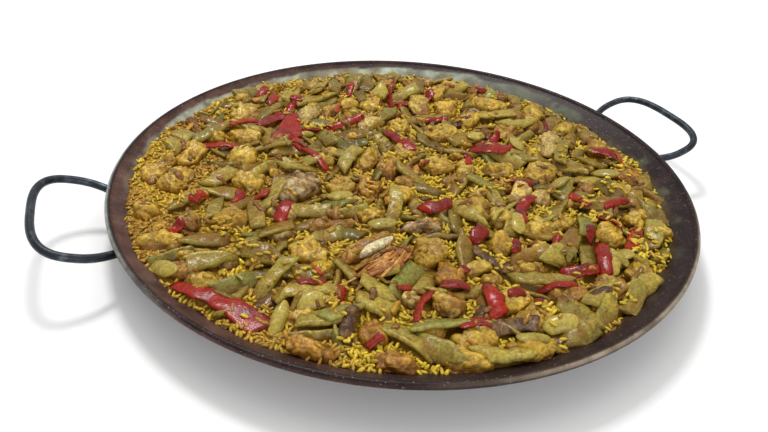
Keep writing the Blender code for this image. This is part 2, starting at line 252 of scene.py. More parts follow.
class Heap:
    """Meshes gathered to make one object, with a colour at each point."""

    def __init__(self):
        self.points, self.faces, self.tints, self.total = [], [], [], 0

    def add(self, points, faces, tint, wet=0.5):
        """Adds a mesh; tint is one colour or one a point, and wet goes in its alpha."""
        colour = np.empty((len(points), 4))
        colour[:, :3] = tint
        colour[:, 3] = wet
        self.points.append(points)
        self.faces.append(faces + self.total)
        self.tints.append(colour)
        self.total += len(points)

    def make(self, name, material, slot, *nodes):
        """Makes the object, which rides on the pan's body and stands for the nodes."""
        mesh = bpy.data.meshes.new(name)
        points = np.concatenate(self.points)
        faces = np.concatenate(self.faces).astype(np.int32)
        mesh.vertices.add(len(points))
        mesh.vertices.foreach_set("co", points.astype(np.float32).ravel())
        mesh.loops.add(faces.size)
        mesh.loops.foreach_set("vertex_index", faces.ravel())
        mesh.polygons.add(len(faces))
        mesh.polygons.foreach_set("loop_start", np.arange(0, faces.size, 3, dtype=np.int32))
        tint = mesh.attributes.new("tint", "FLOAT_COLOR", "POINT")
        tint.data.foreach_set("color", np.concatenate(self.tints).astype(np.float32).ravel())
        mesh.update(calc_edges=True)
        mesh.validate()
        mesh.shade_smooth()
        mesh.materials.append(material)
        piece = bpy.data.objects.new(name, mesh)
        bpy.context.scene.collection.objects.link(piece)
        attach(piece, "root")
        if nodes:
            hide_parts(*nodes)


# ---------------------------------------------------------------- the food's surface


RICE_DROP = 1.6 * MM  # of the rice's level under the top of the bed's solid, all over
RICE_LEAN = 3.0 * MM  # and further at the side where most has been cooked dry
RICE_LOW_SIDE = math.radians(15)  # the bearing of that side in the food's layout
FOOD_TOP = 53.5 * MM  # the highest that a topping reaches in the middle
FOOD_DOME = 4.0 * MM  # how much lower that is at the wall
MOST_SLOPE = math.tan(math.radians(22))  # that a piece takes from the food under it
BEYOND_BED = 12 * MM  # of the map, past the bed's edge
EDGE_KEPT = 3 * MM  # of the bed's edge, where nothing more is tucked in
MOST_OVERHANG = 2 * MM  # of a piece past the bed's edge
BED_PITCH = 8  # cells between the places where the bed's height is cast
BED_INSIDE = 0.985  # of the bed's radius, beyond which the height of its edge holds
COVER_STEPS = 4  # places along a triangle's edge where it raises the map
LAY_STATIONS = 9  # along a piece, where it can bend
LAY_LEVEL = 70  # the percentile of the food under a station that it bends up to
UNDERSIDE = 0.4  # of a piece's points, the lowest, that may touch the food under it
RESTING = 0.3  # of those, the share that does
WALL_GAP = 0.3 * MM  # between a piece and the wall
WALL_PUSH = 9 * MM  # the most that a point is moved up for it

SAUCE_AND_SHADE_RISE = (-1 * MM, 10 * MM)  # over the rice: where sauce and painted shade darken a piece most, and where they end
SAUCE_AND_SHADE_KEPT = (0.47, 0.335, 0.25)  # what sauce and painted shade leave of a piece's red, green and blue
WET_TO_DRY = (-230 * MM, 120 * MM)  # from left to right in the layout

# Places in an oval one unit in radius, where a footprint is tested.
OVAL = np.array([
    (r * math.cos(a), r * math.sin(a))
    for r in (0.35, 0.7, 1.0) for a in np.arange(0, 2 * math.pi, math.pi / 5)
])

# Where rice lies bare among the toppings, as (x, y, half length, half width) in the layout, mm.
BARE_LEFT = (-226, -60, 46, 90)
RICE_CLUMPS = (
    (44, -20, 28, 34), (-66, -8, 24, 22), (-104, 92, 20, 18), (-62, -104, 12, 24), (10, 100, 22, 16),
    (-34, -150, 18, 14), (96, -250, 34, 18), (-100, -254, 34, 14), (30, 210, 14, 22), (120, 180, 20, 14),
    (-2, -200, 12, 12), (64, -80, 20, 12), (-20, -258, 16, 16), (150, 120, 12, 20),
    (-118, -234, 44, 24),
)


def plan_turned(x, y, angle):
    """A place in plan, turned about the origin."""
    c, s = math.cos(angle), math.sin(angle)
    return x * c - y * s, x * s + y * c


def in_frame(x, y, turn):
    """A place and a heading of the food's layout, in millimetres and degrees, in the frame."""
    return plan_turned(x * MM, y * MM, LAYOUT_TURN), math.radians(turn) + LAYOUT_TURN


class Surface:
    """Heights of the food on a fine grid, raised by each piece that is laid on it."""

    STEP = 1 * MM

    def __init__(self, pan):
        self.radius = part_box("rice_bed")[1].x
        self.reach = self.radius + BEYOND_BED
        self.half = int(math.ceil(self.reach / self.STEP)) + 2
        line = (np.arange(2 * self.half + 1) - self.half) * self.STEP
        x, y = np.meshgrid(line, line)
        far = np.hypot(x, y)
        self.wall = wall_height(pan, far)
        bearing = np.arctan2(y, x) - LAYOUT_TURN
        lean = np.cos(bearing - RICE_LOW_SIDE) * (far / self.radius) ** 2
        swell = 2.0 * flat_noise(x, y, 46 * MM, 3) + 1.2 * flat_noise(x, y, 16 * MM, 4)
        self.level = self.sampled_bed() - RICE_DROP - RICE_LEAN * lean + swell * MM
        # Top is raised by the toppings' solids too, and drawn only by what is drawn.
        self.top = np.maximum(self.level, self.wall)
        self.drawn = self.top.copy()
        self.ceiling = FOOD_TOP - FOOD_DOME * (far / self.radius) ** 4
        for name in topping_nodes():
            self.cover(*node_mesh(name), (self.top,))

    def sampled_bed(self):
        """The bed's height, cast on to the solid every 8 mm and blended between."""
        points, faces = node_mesh("rice_bed")
        tree = BVHTree.FromPolygons(points.tolist(), faces.tolist())
        line = np.arange(-self.half, self.half + BED_PITCH, BED_PITCH)
        coarse = np.empty((len(line), len(line)))
        for i, y in enumerate(line):
            for j, x in enumerate(line):
                far = max(math.hypot(x, y) * self.STEP / (self.radius * BED_INSIDE), 1)
                start = Vector((x * self.STEP / far, y * self.STEP / far, 1))
                coarse[i, j] = tree.ray_cast(start, Vector((0, 0, -1)))[0].z
        fine = np.arange(2 * self.half + 1) / BED_PITCH
        whole = np.clip(fine.astype(int), 0, len(line) - 2)
        share = fine - whole
        rows = coarse[whole] * (1 - share[:, None]) + coarse[whole + 1] * share[:, None]
        return rows[:, whole] * (1 - share) + rows[:, whole + 1] * share

    def cells(self, x, y):
        """The row and column of the map at each place."""
        i = np.clip(np.rint(np.asarray(y) / self.STEP).astype(int) + self.half, 0, 2 * self.half)
        j = np.clip(np.rint(np.asarray(x) / self.STEP).astype(int) + self.half, 0, 2 * self.half)
        return i, j

    def cover(self, points, faces, maps=None):
        """Raises both maps, or those given, to the top of a mesh."""
        a, b, c = (points[faces[:, k]] for k in range(3))
        for i in range(COVER_STEPS):
            for j in range(COVER_STEPS - i):
                u, v = (i + 1 / 3) / COVER_STEPS, (j + 1 / 3) / COVER_STEPS
                spot = a * (1 - u - v) + b * u + c * v
                at = self.cells(spot[:, 0], spot[:, 1])
                for heights in maps or (self.top, self.drawn):
                    np.maximum.at(heights, at, spot[:, 2])

    def covered(self, x, y, turn, length, width, over=1.5 * MM):
        """The share of an oval footprint where another piece already stands, or 1 if any of it
        would lie beyond the rice."""
        u, v = OVAL[:, 0] * length / 2, OVAL[:, 1] * width / 2
        du, dv = plan_turned(u, v, turn)
        if np.hypot(x + du, y + dv).max() > self.radius - EDGE_KEPT:
            return 1.0
        at = self.cells(x + du, y + dv)
        return float((self.top[at] - self.level[at] > over).mean())

    def kept_clear(self, x, y):
        """How likely a spot is kept for bare rice: beside the wall at the left, and in the
        middle, where clumps of it show."""
        x, y = (value / MM for value in plan_turned(x, y, -LAYOUT_TURN))
        clumps = max(near_spot(x, y, *spot) for spot in RICE_CLUMPS)
        return max(0.95 * near_spot(x, y, *BARE_LEFT), clumps)

    def lay(self, points, x, y, turn, deep, give=0.0, on_top=True):
        """Lets a piece down at a place. It takes the slope of what is under it, bends with it
        along its length as far as give says, and sinks in by a share of its height."""
        world = points.copy()
        world[:, 0], world[:, 1] = plan_turned(points[:, 0], points[:, 1], turn)
        world[:, 0] += x
        world[:, 1] += y
        far = np.hypot(world[:, 0], world[:, 1])
        over = max(far.max() / (self.radius + MOST_OVERHANG) - 1, 0)
        world[:, :2] -= over * world[far.argmax(), :2]
        at = self.cells(world[:, 0], world[:, 1])
        under = (self.top if on_top else self.level)[at]
        plan = np.stack([np.ones(len(points)), points[:, 0], points[:, 1]], -1)
        plane = np.linalg.lstsq(plan, under, rcond=None)[0]
        plane[1:] *= min(1, MOST_SLOPE / max(math.hypot(plane[1], plane[2]), 1e-9))
        base = plan @ plane
        if give:
            reach = np.abs(points[:, 0]).max()
            stations = np.linspace(-reach, reach, LAY_STATIONS)
            nearest = np.abs(points[:, 0][:, None] - stations).argmin(1)
            rest = np.zeros(LAY_STATIONS)
            for k in np.unique(nearest):
                rest[k] = np.percentile((under - base)[nearest == k], LAY_LEVEL)
            rest = np.convolve(np.pad(rest, 1, mode="edge"), [0.25, 0.5, 0.25], "valid")
            base = base + give * np.interp(points[:, 0], stations, rest)
        world[:, 2] = points[:, 2] + base
        low = points[:, 2] <= np.quantile(points[:, 2], UNDERSIDE)
        gap = np.quantile((world[:, 2] - under)[low], RESTING)
        world[:, 2] -= gap + deep * np.ptp(points[:, 2])
        at = self.cells(world[:, 0], world[:, 1])
        world[:, 2] -= max((world[:, 2] - self.ceiling[at]).max(), 0)
        return self.inside(world)

    def inside(self, world):
        """The same points, pushed up where they would pass through the pan's wall."""
        clear = self.wall[self.cells(world[:, 0], world[:, 1])] + WALL_GAP
        world[:, 2] = np.maximum(world[:, 2], np.minimum(clear, world[:, 2] + WALL_PUSH))
        return world


def near_spot(x, y, middle_x, middle_y, half_x, half_y):
    """1 at the middle of an oval, falling to 0 at its edge."""
    off = math.hypot((x - middle_x) / half_x, (y - middle_y) / half_y)
    return max(0.0, min(1.0, 2 * (1 - off)))


def any_spot(rng, surface):
    """A place on the rice drawn evenly, and a turn."""
    reach = surface.radius * math.sqrt(rng.uniform())
    angle = rng.uniform(0, 2 * math.pi)
    return reach * math.cos(angle), reach * math.sin(angle), rng.uniform(0, math.pi)


def sauced_and_shaded(tint, world, surface):
    """The same colours, darker towards the rice: partly sauce that gathers there, partly painted shade
    between the pieces.
    """
    at = surface.cells(world[:, 0], world[:, 1])
    rise = smooth(*SAUCE_AND_SHADE_RISE, world[:, 2] - surface.level[at])[:, None]
    # Painted shade and sauce together darken a piece low down, near the rice.
    return tint * (np.array(SAUCE_AND_SHADE_KEPT) * (1 - rise) + rise)


def wetness(points):
    """How wet the food is: wettest at the left of the layout, where stock is left."""
    x, _ = plan_turned(points[:, 0], points[:, 1], -LAYOUT_TURN)
    return 1 - smooth(*WET_TO_DRY, x)


def tilted(points, pitch, roll):
    """The points turned about the piece's length by roll, and then nose up by pitch."""
    c, s = math.cos(roll), math.sin(roll)
    x = points[:, 0]
    y, z = points[:, 1] * c - points[:, 2] * s, points[:, 1] * s + points[:, 2] * c
    c, s = math.cos(pitch), math.sin(pitch)
    return np.stack([x * c - z * s, y, x * s + z * c], -1)


def topping_nodes(kind=""):
    """The toppings' nodes, or those of one kind."""
    plain = ("pan", "handle_right", "handle_left", "rice_bed")
    return [name for name in sorted(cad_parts) if name not in plain and name.startswith(kind)]


def node_mesh(name):
    """A node's points and triangles."""
    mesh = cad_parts[name].data
    mesh.calc_loop_triangles()
    points = np.empty(len(mesh.vertices) * 3)
    mesh.vertices.foreach_get("co", points)
    faces = np.empty(len(mesh.loop_triangles) * 3, dtype=np.int32)
    mesh.loop_triangles.foreach_get("vertices", faces)
    return points.reshape(-1, 3), faces.reshape(-1, 3)


class Place:
    """Where a topping's node lies: its middle, heading, length, width, height and taper."""

    def __init__(self, name):
        points = node_mesh(name)[0]
        low, high = points.min(0), points.max(0)
        self.low, self.high = low[2], high[2]
        flat = points[:, :2] - points[:, :2].mean(0)
        _, _, axes = np.linalg.svd(flat, full_matrices=False)
        self.turn = math.atan2(axes[0, 1], axes[0, 0])
        u, v = flat @ axes[0], flat @ np.array([-axes[0, 1], axes[0, 0]])
        middle = np.array([(u.max() + u.min()) / 2, (v.max() + v.min()) / 2])
        shift = plan_turned(*middle, self.turn)
        self.x, self.y = points[:, 0].mean() + shift[0], points[:, 1].mean() + shift[1]
        self.length, self.width = np.ptp(u), np.ptp(v)
        first, last = u < -0.3 * self.length, u > 0.3 * self.length
        self.start = max(np.ptp(v[first]), 4 * MM)
        self.end = max(np.ptp(v[last]), 4 * MM)


# ---------------------------------------------------------------- shapes of the toppings

BLOCK = rounded_block(14)
MIDDLE_BLOCK = rounded_block(10)
SMALL_BLOCK = rounded_block(6)

LUMPS = 15 * MM  # between the swells of a chunk
CRUST, FINE_CRUST = 7.5 * MM, 3.6 * MM  # between the creases of its crust
SEED_SPACING = 13 * MM  # along a pod
POD_SAG, POD_WRINKLES = 12 * MM, 4.5 * MM  # between the dips and the wrinkles of a pod
FOLDS, FINE_FOLDS = 7.5 * MM, 3.6 * MM  # between the wrinkles of a strip


def chunk(rng, length, width, height, facets=5, rough=1.0, block=BLOCK):
    """A torn lump with worn flat sides and a crust of soft bumps with creases between. Returns
    points, faces and how far each point stands out of the creases, from 0 to 1."""
    points, faces = block
    power = rng.uniform(2.1, 3.0)
    points = points / (np.abs(points) ** power).sum(1, keepdims=True) ** (1 / power)
    seed = int(rng.integers(1 << 16))
    for _ in range(facets):
        normal = rng.normal(size=3)
        normal[2] *= 0.7
        normal /= np.linalg.norm(normal)
        over = points @ normal - rng.uniform(0.62, 0.92)
        points = points - 0.8 * np.clip(over, 0, None)[:, None] * normal
    sides = np.array([length, width, height]) / 2
    out = points / np.linalg.norm(points, axis=1, keepdims=True)
    spot = points * sides
    swell = layered(spot / LUMPS + seed, 2, seed)
    points = spot + out * (0.30 * swell * sides.min())[:, None]
    coarse = np.abs(noise(spot / CRUST + 2 * seed, seed + 1))
    fine = np.abs(noise(spot / FINE_CRUST + 3 * seed, seed + 2))
    bumps = 1.7 * smooth(0, 0.5, coarse) + 0.8 * smooth(0, 0.5, fine) - 1.2
    points = points + out * (rough * bumps * MM)[:, None]
    return points, faces, np.clip(0.7 * smooth(0, 0.45, coarse) + 0.3 * smooth(0, 0.5, fine), 0, 1)


def stations(rows, columns):
    """Places along a piece from -1 to 1, as a column, and angles round it, as a row."""
    around = np.linspace(0, 2 * math.pi, columns, endpoint=False)
    return np.linspace(-1, 1, rows)[:, None], around[None, :]


def pod(rng, length, width, thick, bend=0.0, arch=0.0, twist=0.0, tip=0.0, rows=22, columns=14):
    """A length of flat bean: a lens in section with a seam at each edge, a little swollen over
    its seeds, and cut slantwise at its ends unless it keeps its tip. Returns points, faces and
    how near each point is to a seam, from 0 to 1."""
    t, around = stations(rows, columns)
    side, up = np.cos(around), np.sin(around)
    seed = int(rng.integers(1 << 16))
    half = width / 2 * (1 - 0.08 * t**2) * (1 - 0.9 * tip * smooth(0.0, 1.05, t))
    half = half * (1 + 0.09 * line_noise(seed, 2.6 * t, z=seed))
    spacing = SEED_SPACING / (length / 2)
    seeds = 0.34 * (0.5 + 0.5 * np.cos(2 * math.pi * (t + rng.uniform()) / spacing)) * (1 - side**2)
    seam = 1 + 0.9 * smooth(0.84, 1.0, np.abs(side))
    lens = np.sign(up) * np.abs(up) ** 0.5 * (1 + seeds) * seam
    across = side * half
    skew = rng.uniform(-0.95, 0.95, 2)
    x = t * length / 2 + across * np.where(t < 0, skew[0] * t**4, skew[1] * t**4)
    wave = 0.9 * MM * line_noise(seed + 3, 4.2 * t + seed)
    z = thick / 2 * lens * (1 - 0.3 * t**8) + wave * side - 0.06 * half * side**2
    c, s = np.cos(twist * t), np.sin(twist * t)
    y, z = across * c - z * s, across * s + z * c
    y, z = y + bend * (1 - t**2), z + arch * (1 - t**2)
    rings = np.stack(np.broadcast_arrays(x, y, z), -1)
    sag = noise(rings * [1, 1, 0] / POD_SAG + seed, seed + 5)
    wrinkle = layered(rings / POD_WRINKLES + seed, 2, seed + 2)
    rings[..., 2] += 1.1 * MM * sag + 0.4 * MM * wrinkle
    points, faces = capped(rings)
    edge = np.tile(smooth(0.75, 1.0, np.abs(side)), (rows, 1)).ravel()
    return points, faces, np.append(edge, [0.6, 0.6])


def strip(rng, length, start, end, thick, cup=0.12, bend=0.0, arch=0.0, curl=0.0, rows=26):
    """A strip of soft flesh with torn edges: it tapers, cups a little, curls at its ends and
    wrinkles all over."""
    t, around = stations(rows, 16)
    seed = int(rng.integers(1 << 16))
    half = (start + (end - start) * (t + 1) / 2) / 2
    along = 3.0 * (0.16 * t * length / half.mean())
    left = line_noise(seed, along, 3.0 * seed)
    right = line_noise(seed, along + 9, 3.0 * seed + 9, 9)
    side = np.cos(around)
    torn = 1 + 0.24 * np.where(side > 0, left, right)
    across = half * side * torn * (1 - 0.35 * np.abs(t) ** 12)
    skin = thick / 2 * np.sign(np.sin(around)) * np.abs(np.sin(around)) ** 0.6 * (1 - 0.5 * t**10)
    skew = rng.uniform(-0.6, 0.6, 2)
    x = t * length / 2 + across * np.where(t < 0, skew[0] * t**4, skew[1] * t**4)
    y = across + bend * (1 - t**2)
    z = skin - cup * half * side**2 + arch * (1 - t**2) + curl * t**4
    rings = np.stack(np.broadcast_arrays(x, y, z), -1)
    folds = noise(rings / FOLDS + seed, seed + 1) + 0.5 * noise(rings / FINE_FOLDS, seed + 2)
    rings[..., 2] += 1.0 * MM * folds
    return capped(rings)


def lima(rng, length, width, height):
    """A plump flat bean with a dent on one long side, its skin slightly slack."""
    points, faces = MIDDLE_BLOCK
    points = points.copy()
    seed = int(rng.integers(1 << 20))
    dent = np.exp(-((points[:, 0] / 0.45) ** 2)) * smooth(0.2, 1.0, -points[:, 1])
    points[:, 1] += 0.30 * dent
    points[:, 1] += 0.16 * points[:, 0] ** 2
    slack = 1 + 0.04 * noise(points * 2.4 + seed, seed)
    edge = smooth(0.55, 1.0, np.hypot(points[:, 0], points[:, 1]))
    points[:, 2] *= 1 - 0.15 * edge
    return points * slack[:, None] * np.array([length, width, height]) / 2, faces


def fibre(rng, length, thick, bend, lift):
    """One shred of meat: a long thin lump with a waver."""
    t, around = stations(14, 7)
    seed = int(rng.integers(1 << 20))
    swell = (1 - 0.75 * np.abs(t) ** 3) * (1 + 0.35 * line_noise(seed, 3 * t, z=seed))
    waver = line_noise(seed + 1, 1.6 * t + seed)
    x = t * length / 2
    y = thick * swell * np.cos(around) + bend * (1 - t**2) + 2.0 * MM * waver
    z = 0.6 * thick * swell * np.sin(around) + lift * (1 - t**2) + 1.0 * MM * waver
    return capped(np.stack(np.broadcast_arrays(x, y, z), -1))


# ---------------------------------------------------------------- materials

SOFT = {"interpolation_type": "SMOOTHSTEP"}  # a range with soft ends
MULTIPLIED = {"blend_type": "MULTIPLY", "Fac": 1}


def join(tree, node, links):
    """Feeds inputs of a node, each from a socket or from the first output of another node."""
    for key, source in links.items():
        if isinstance(source, bpy.types.Node):
            source = source.outputs[0]
        tree.links.new(source, node.inputs[key])


def add(tree, kind, settings, links):
    """Adds a node. A setting is a property of the node, or else the value of an input."""
    made = tree.nodes.new("ShaderNode" + kind)
    for key, value in settings.items():
        if isinstance(key, str) and hasattr(made, key):
            setattr(made, key, value)
        else:
            made.inputs[key].default_value = value
    join(tree, made, links)
    return made


def new_material(name, roughness, metallic=0.0, coat=0.0, specular=0.5):
    """An empty material with its shader, whose plain values are set on the shader itself."""
    material = bpy.data.materials.new(name)
    material.use_nodes = True
    tree = material.node_tree
    shader = tree.nodes["Principled BSDF"]
    shader.inputs["Roughness"].default_value = roughness
    shader.inputs["Metallic"].default_value = metallic
    shader.inputs["Coat Weight"].default_value = coat
    shader.inputs["Coat Roughness"].default_value = 0.14
    shader.inputs["Specular IOR Level"].default_value = specular
    return material, tree, shader


def per(size_mm):
    """The scale of a pattern whose features are so many millimetres apart."""
    return 1 / (size_mm * MM)


def four(colour):
    """A colour with full opacity."""
    return (*colour, 1)


def food_material(name, sauce, patch_mm, patch_share, grain_mm, depth_mm, dry, wet, speck, coat,
                  contrast=1.0):
    """Moist cooked food: its own tint, patches of sauce that cling to it, fine relief of a
    size, specks of a colour, and a gloss that breaks up between dry and wet."""
    material, tree, shader = new_material(name, wet, coat=coat, specular=0.10)
    spot = {"Vector": add(tree, "TexCoord", {}, {}).outputs["Object"]}
    tint = add(tree, "Attribute", {"attribute_name": "tint"}, {})
    low, high = patch_share
    patches = add(tree, "TexNoise", {"Scale": per(patch_mm), "Detail": 5, "Roughness": 0.66}, spot)
    share = add(tree, "MapRange", {**SOFT, "From Min": low, "From Max": high}, {"Value": patches})
    sauced = add(tree, "MixRGB", {"Color2": four(sauce)}, {"Fac": share, "Color1": tint})
    grain = add(tree, "TexNoise", {"Scale": per(grain_mm), "Detail": 4, "Roughness": 0.62}, spot)
    shade = add(tree, "MapRange", {**SOFT, "From Min": 0.30, "From Max": 0.72}, {"Value": grain})
    dark, bright = 1 - 0.42 * contrast, 1 + 0.30 * contrast
    shades = {"Color1": (dark, 0.97 * dark, 0.92 * dark, 1),
              "Color2": (bright, bright, 0.97 * bright, 1)}
    light = add(tree, "MixRGB", shades, {"Fac": shade})
    coloured = add(tree, "MixRGB", MULTIPLIED, {"Color1": sauced, "Color2": light})
    colour, speck_mm, amount = speck
    dots = add(tree, "TexNoise", {"Scale": per(speck_mm), "Detail": 5, "Roughness": 0.6}, spot)
    few = {**SOFT, "From Min": 0.98 - amount, "From Max": 1.10 - amount, "To Max": 0.62}
    specked = add(tree, "MapRange", few, {"Value": dots})
    base = add(tree, "MixRGB", {"Color2": four(colour)}, {"Fac": specked, "Color1": coloured})
    soaked = add(tree, "MapRange", {"To Min": dry, "To Max": wet}, {"Value": tint.outputs["Alpha"]})
    broken = add(tree, "Math", {"operation": "MULTIPLY_ADD", 1: 0.5, 2: -0.25}, {0: grain})
    rough = add(tree, "Math", {"operation": "ADD", "use_clamp": True}, {0: soaked, 1: broken})
    bump = add(tree, "Bump", {"Strength": 1.0, "Distance": depth_mm * MM}, {"Height": grain})
    film = add(tree, "Bump", {"Strength": 1.0, "Distance": 0.45 * depth_mm * MM}, {"Height": grain})
    join(tree, shader, {"Base Color": base, "Roughness": rough, "Normal": bump, "Coat Normal": film})
    return material


def rice_material(name, sauce, wet):
    """Boiled round rice: a smooth starchy skin, yellow with saffron, in a film of oil."""
    return food_material(name, sauce, 9, (0.50, 0.80), 2.2, 0.2, 0.46, wet,
                         (linear("f0d868"), 1.5, 0.24), 0.40, 0.5)


def crust_material(sauce, crust):
    """Chicken shallow fried in oil, then stewed: a rough golden crust with brown specks."""
    return food_material("fried chicken crust", sauce, 9, (0.50, 0.80), 3.2, 1.5, 0.46, 0.24,
                         (crust, 4.0, 0.36), 0.42)


def pod_material(sauce):
    """Flat bean stewed until dull: a thin skin with a speckled glaze of sauce."""
    return food_material("stewed bean pod", sauce, 8, (0.50, 0.82), 2.6, 0.6, 0.38, 0.22,
                         (linear("d0b448"), 2.2, 0.32), 0.36, 0.85)


def pepper_material(sauce):
    """Roast red pepper: a wet glossy skin with sauce in patches."""
    return food_material("roast pepper skin", sauce, 9, (0.60, 0.95), 2.6, 0.6, 0.30, 0.18,
                         (linear("560e08"), 3.0, 0.28), 0.34)


def lima_material(sauce):
    """Boiled lima bean: a smooth waxy skin with a soft gloss."""
    return food_material("boiled lima skin", sauce, 12, (0.50, 0.90), 2.6, 0.25, 0.38, 0.24,
                         (linear("8a7426"), 2.4, 0.32), 0.40, 0.7)


def char_material(sauce):
    """Aubergine skin burnt nearly black: brittle, wrinkled and shiny with oil."""
    return food_material("charred aubergine skin", sauce, 7, (0.58, 0.85), 1.6, 1.2, 0.42, 0.22,
                         (linear("8d6a3c"), 1.8, 0.32), 0.40)


def steel_material(worn):
    """Carbon steel sheet, spun to shape and seasoned: a dark film of burnt oil, mottled, with
    pinprick spatters, over a metal that still shows a soft sheen. The spatters and pits are drawn
    over a millimetre apart, coarser than the real ones, so that they show."""
    material, tree, shader = new_material("seasoned carbon steel", 0.34, metallic=0.05, specular=0.14)
    spot = {"Vector": add(tree, "TexCoord", {}, {}).outputs["Object"]}
    tint = add(tree, "Attribute", {"attribute_name": "tint"}, {})
    clouds = add(tree, "TexNoise", {"Scale": per(22), "Detail": 6, "Roughness": 0.65}, spot)
    cloud = add(tree, "MapRange", {**SOFT, "From Min": 0.3, "From Max": 0.72}, {"Value": clouds})
    shades = {"Color1": (0.60, 0.56, 0.56, 1), "Color2": (1.35, 1.33, 1.30, 1)}
    light = add(tree, "MixRGB", shades, {"Fac": cloud})
    mottled = add(tree, "MixRGB", MULTIPLIED, {"Color1": tint, "Color2": light})
    pricks = add(tree, "TexNoise", {"Scale": per(1.3), "Detail": 1}, spot)
    prick = add(tree, "MapRange", {**SOFT, "From Min": 0.69, "From Max": 0.78}, {"Value": pricks})
    spattered = add(tree, "MixRGB", {"Color2": four(worn)}, {"Fac": prick, "Color1": mottled})
    rough = add(tree, "MapRange", {"To Min": 0.30, "To Max": 0.52}, {"Value": clouds})
    fine = add(tree, "TexNoise", {"Scale": per(1.1), "Detail": 3}, spot)
    bump = add(tree, "Bump", {"Strength": 0.7, "Distance": 0.12 * MM}, {"Height": fine})
    join(tree, shader, {"Base Color": spattered, "Roughness": rough, "Normal": bump})
    return material


def rod_material(base, worn):
    """Drawn steel rod, blued by heat: nearly black, finely pitted, with paler worn patches. The
    pits are drawn coarser than the real ones, so that they show."""
    material, tree, shader = new_material("blued steel rod", 0.38, metallic=0.7)
    spot = {"Vector": add(tree, "TexCoord", {}, {}).outputs["Object"]}
    clouds = add(tree, "TexNoise", {"Scale": per(9), "Detail": 5}, spot)
    share = add(tree, "MapRange", {**SOFT, "From Min": 0.45, "From Max": 0.85}, {"Value": clouds})
    patched = add(tree, "MixRGB", {"Color1": four(base), "Color2": four(worn)}, {"Fac": share})
    pits = add(tree, "TexNoise", {"Scale": per(1.6), "Detail": 3}, spot)
    rough = add(tree, "MapRange", {"To Min": 0.28, "To Max": 0.5}, {"Value": pits})
    bump = add(tree, "Bump", {"Strength": 0.8, "Distance": 0.25 * MM}, {"Height": pits})
    join(tree, shader, {"Base Color": patched, "Roughness": rough, "Normal": bump})
    return material


# ---------------------------------------------------------------- pan and handles

WALL_STEPS = 24  # of the wall's line where food meets it
INSIDE_STEPS, OUTSIDE_STEPS, FLAT_STEPS, BEAD_STEPS = 34, 18, 12, 17  # of the pan's section
PAN_SEGMENTS = 288
BEAD_START, BEAD_END = math.radians(-135), math.radians(160)  # round the bead from its outside


def wall_line(pan, steps, outset=0.0):
    """(radius, height) up the inside of the wall to the bead, moved out along its normal."""
    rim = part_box("pan")[1]
    foot = np.array([base_radius(), pan.sheet])
    lip = np.array([rim.x - 0.9 * pan.bead, rim.z - 0.34 * pan.bead])
    run, rise = lip - foot
    foot_tan, lip_tan = math.tan(pan.foot_slope), math.tan(pan.lip_slope)
    reach = (rise - lip_tan * run) / (foot_tan - lip_tan)
    bend = foot + np.array([reach, reach * foot_tan])
    t = np.linspace(0, 1 - 0.5 / (steps + 0.5), steps + 1)[:, None]
    line = foot * (1 - t) ** 2 + bend * 2 * t * (1 - t) + lip * t**2
    along = (bend - foot) * (1 - t) + (lip - bend) * t
    along /= np.linalg.norm(along, axis=1, keepdims=True)
    return line + np.stack([along[:, 1], -along[:, 0]], -1) * outset


def wall_height(pan, radius):
    """How high the inside of the wall stands at a radius, and 0 within the base."""
    line = wall_line(pan, WALL_STEPS)
    return np.interp(radius, line[:, 0], line[:, 1], left=0)


def base_radius():
    """The radius of the flat underside, from the pan's node."""
    points = node_mesh("pan")[0]
    flat = points[points[:, 2] < 0.1 * MM]
    return float(np.hypot(flat[:, 0], flat[:, 1]).max())


def layout_angle(points):
    """Each point's bearing in the food's own layout, in degrees: 0 right, 90 back, 180 left."""
    return np.degrees(np.arctan2(points[:, 1], points[:, 0]) - LAYOUT_TURN)


def near_bearing(angle, middle, half, gain):
    """1 about a bearing, and the broader the greater the gain, falling to 0 at half degrees
    either side."""
    off = np.abs((angle - middle + 180) % 360 - 180)
    return np.clip(gain * (1 - smooth(0, half, off)), 0, 1)


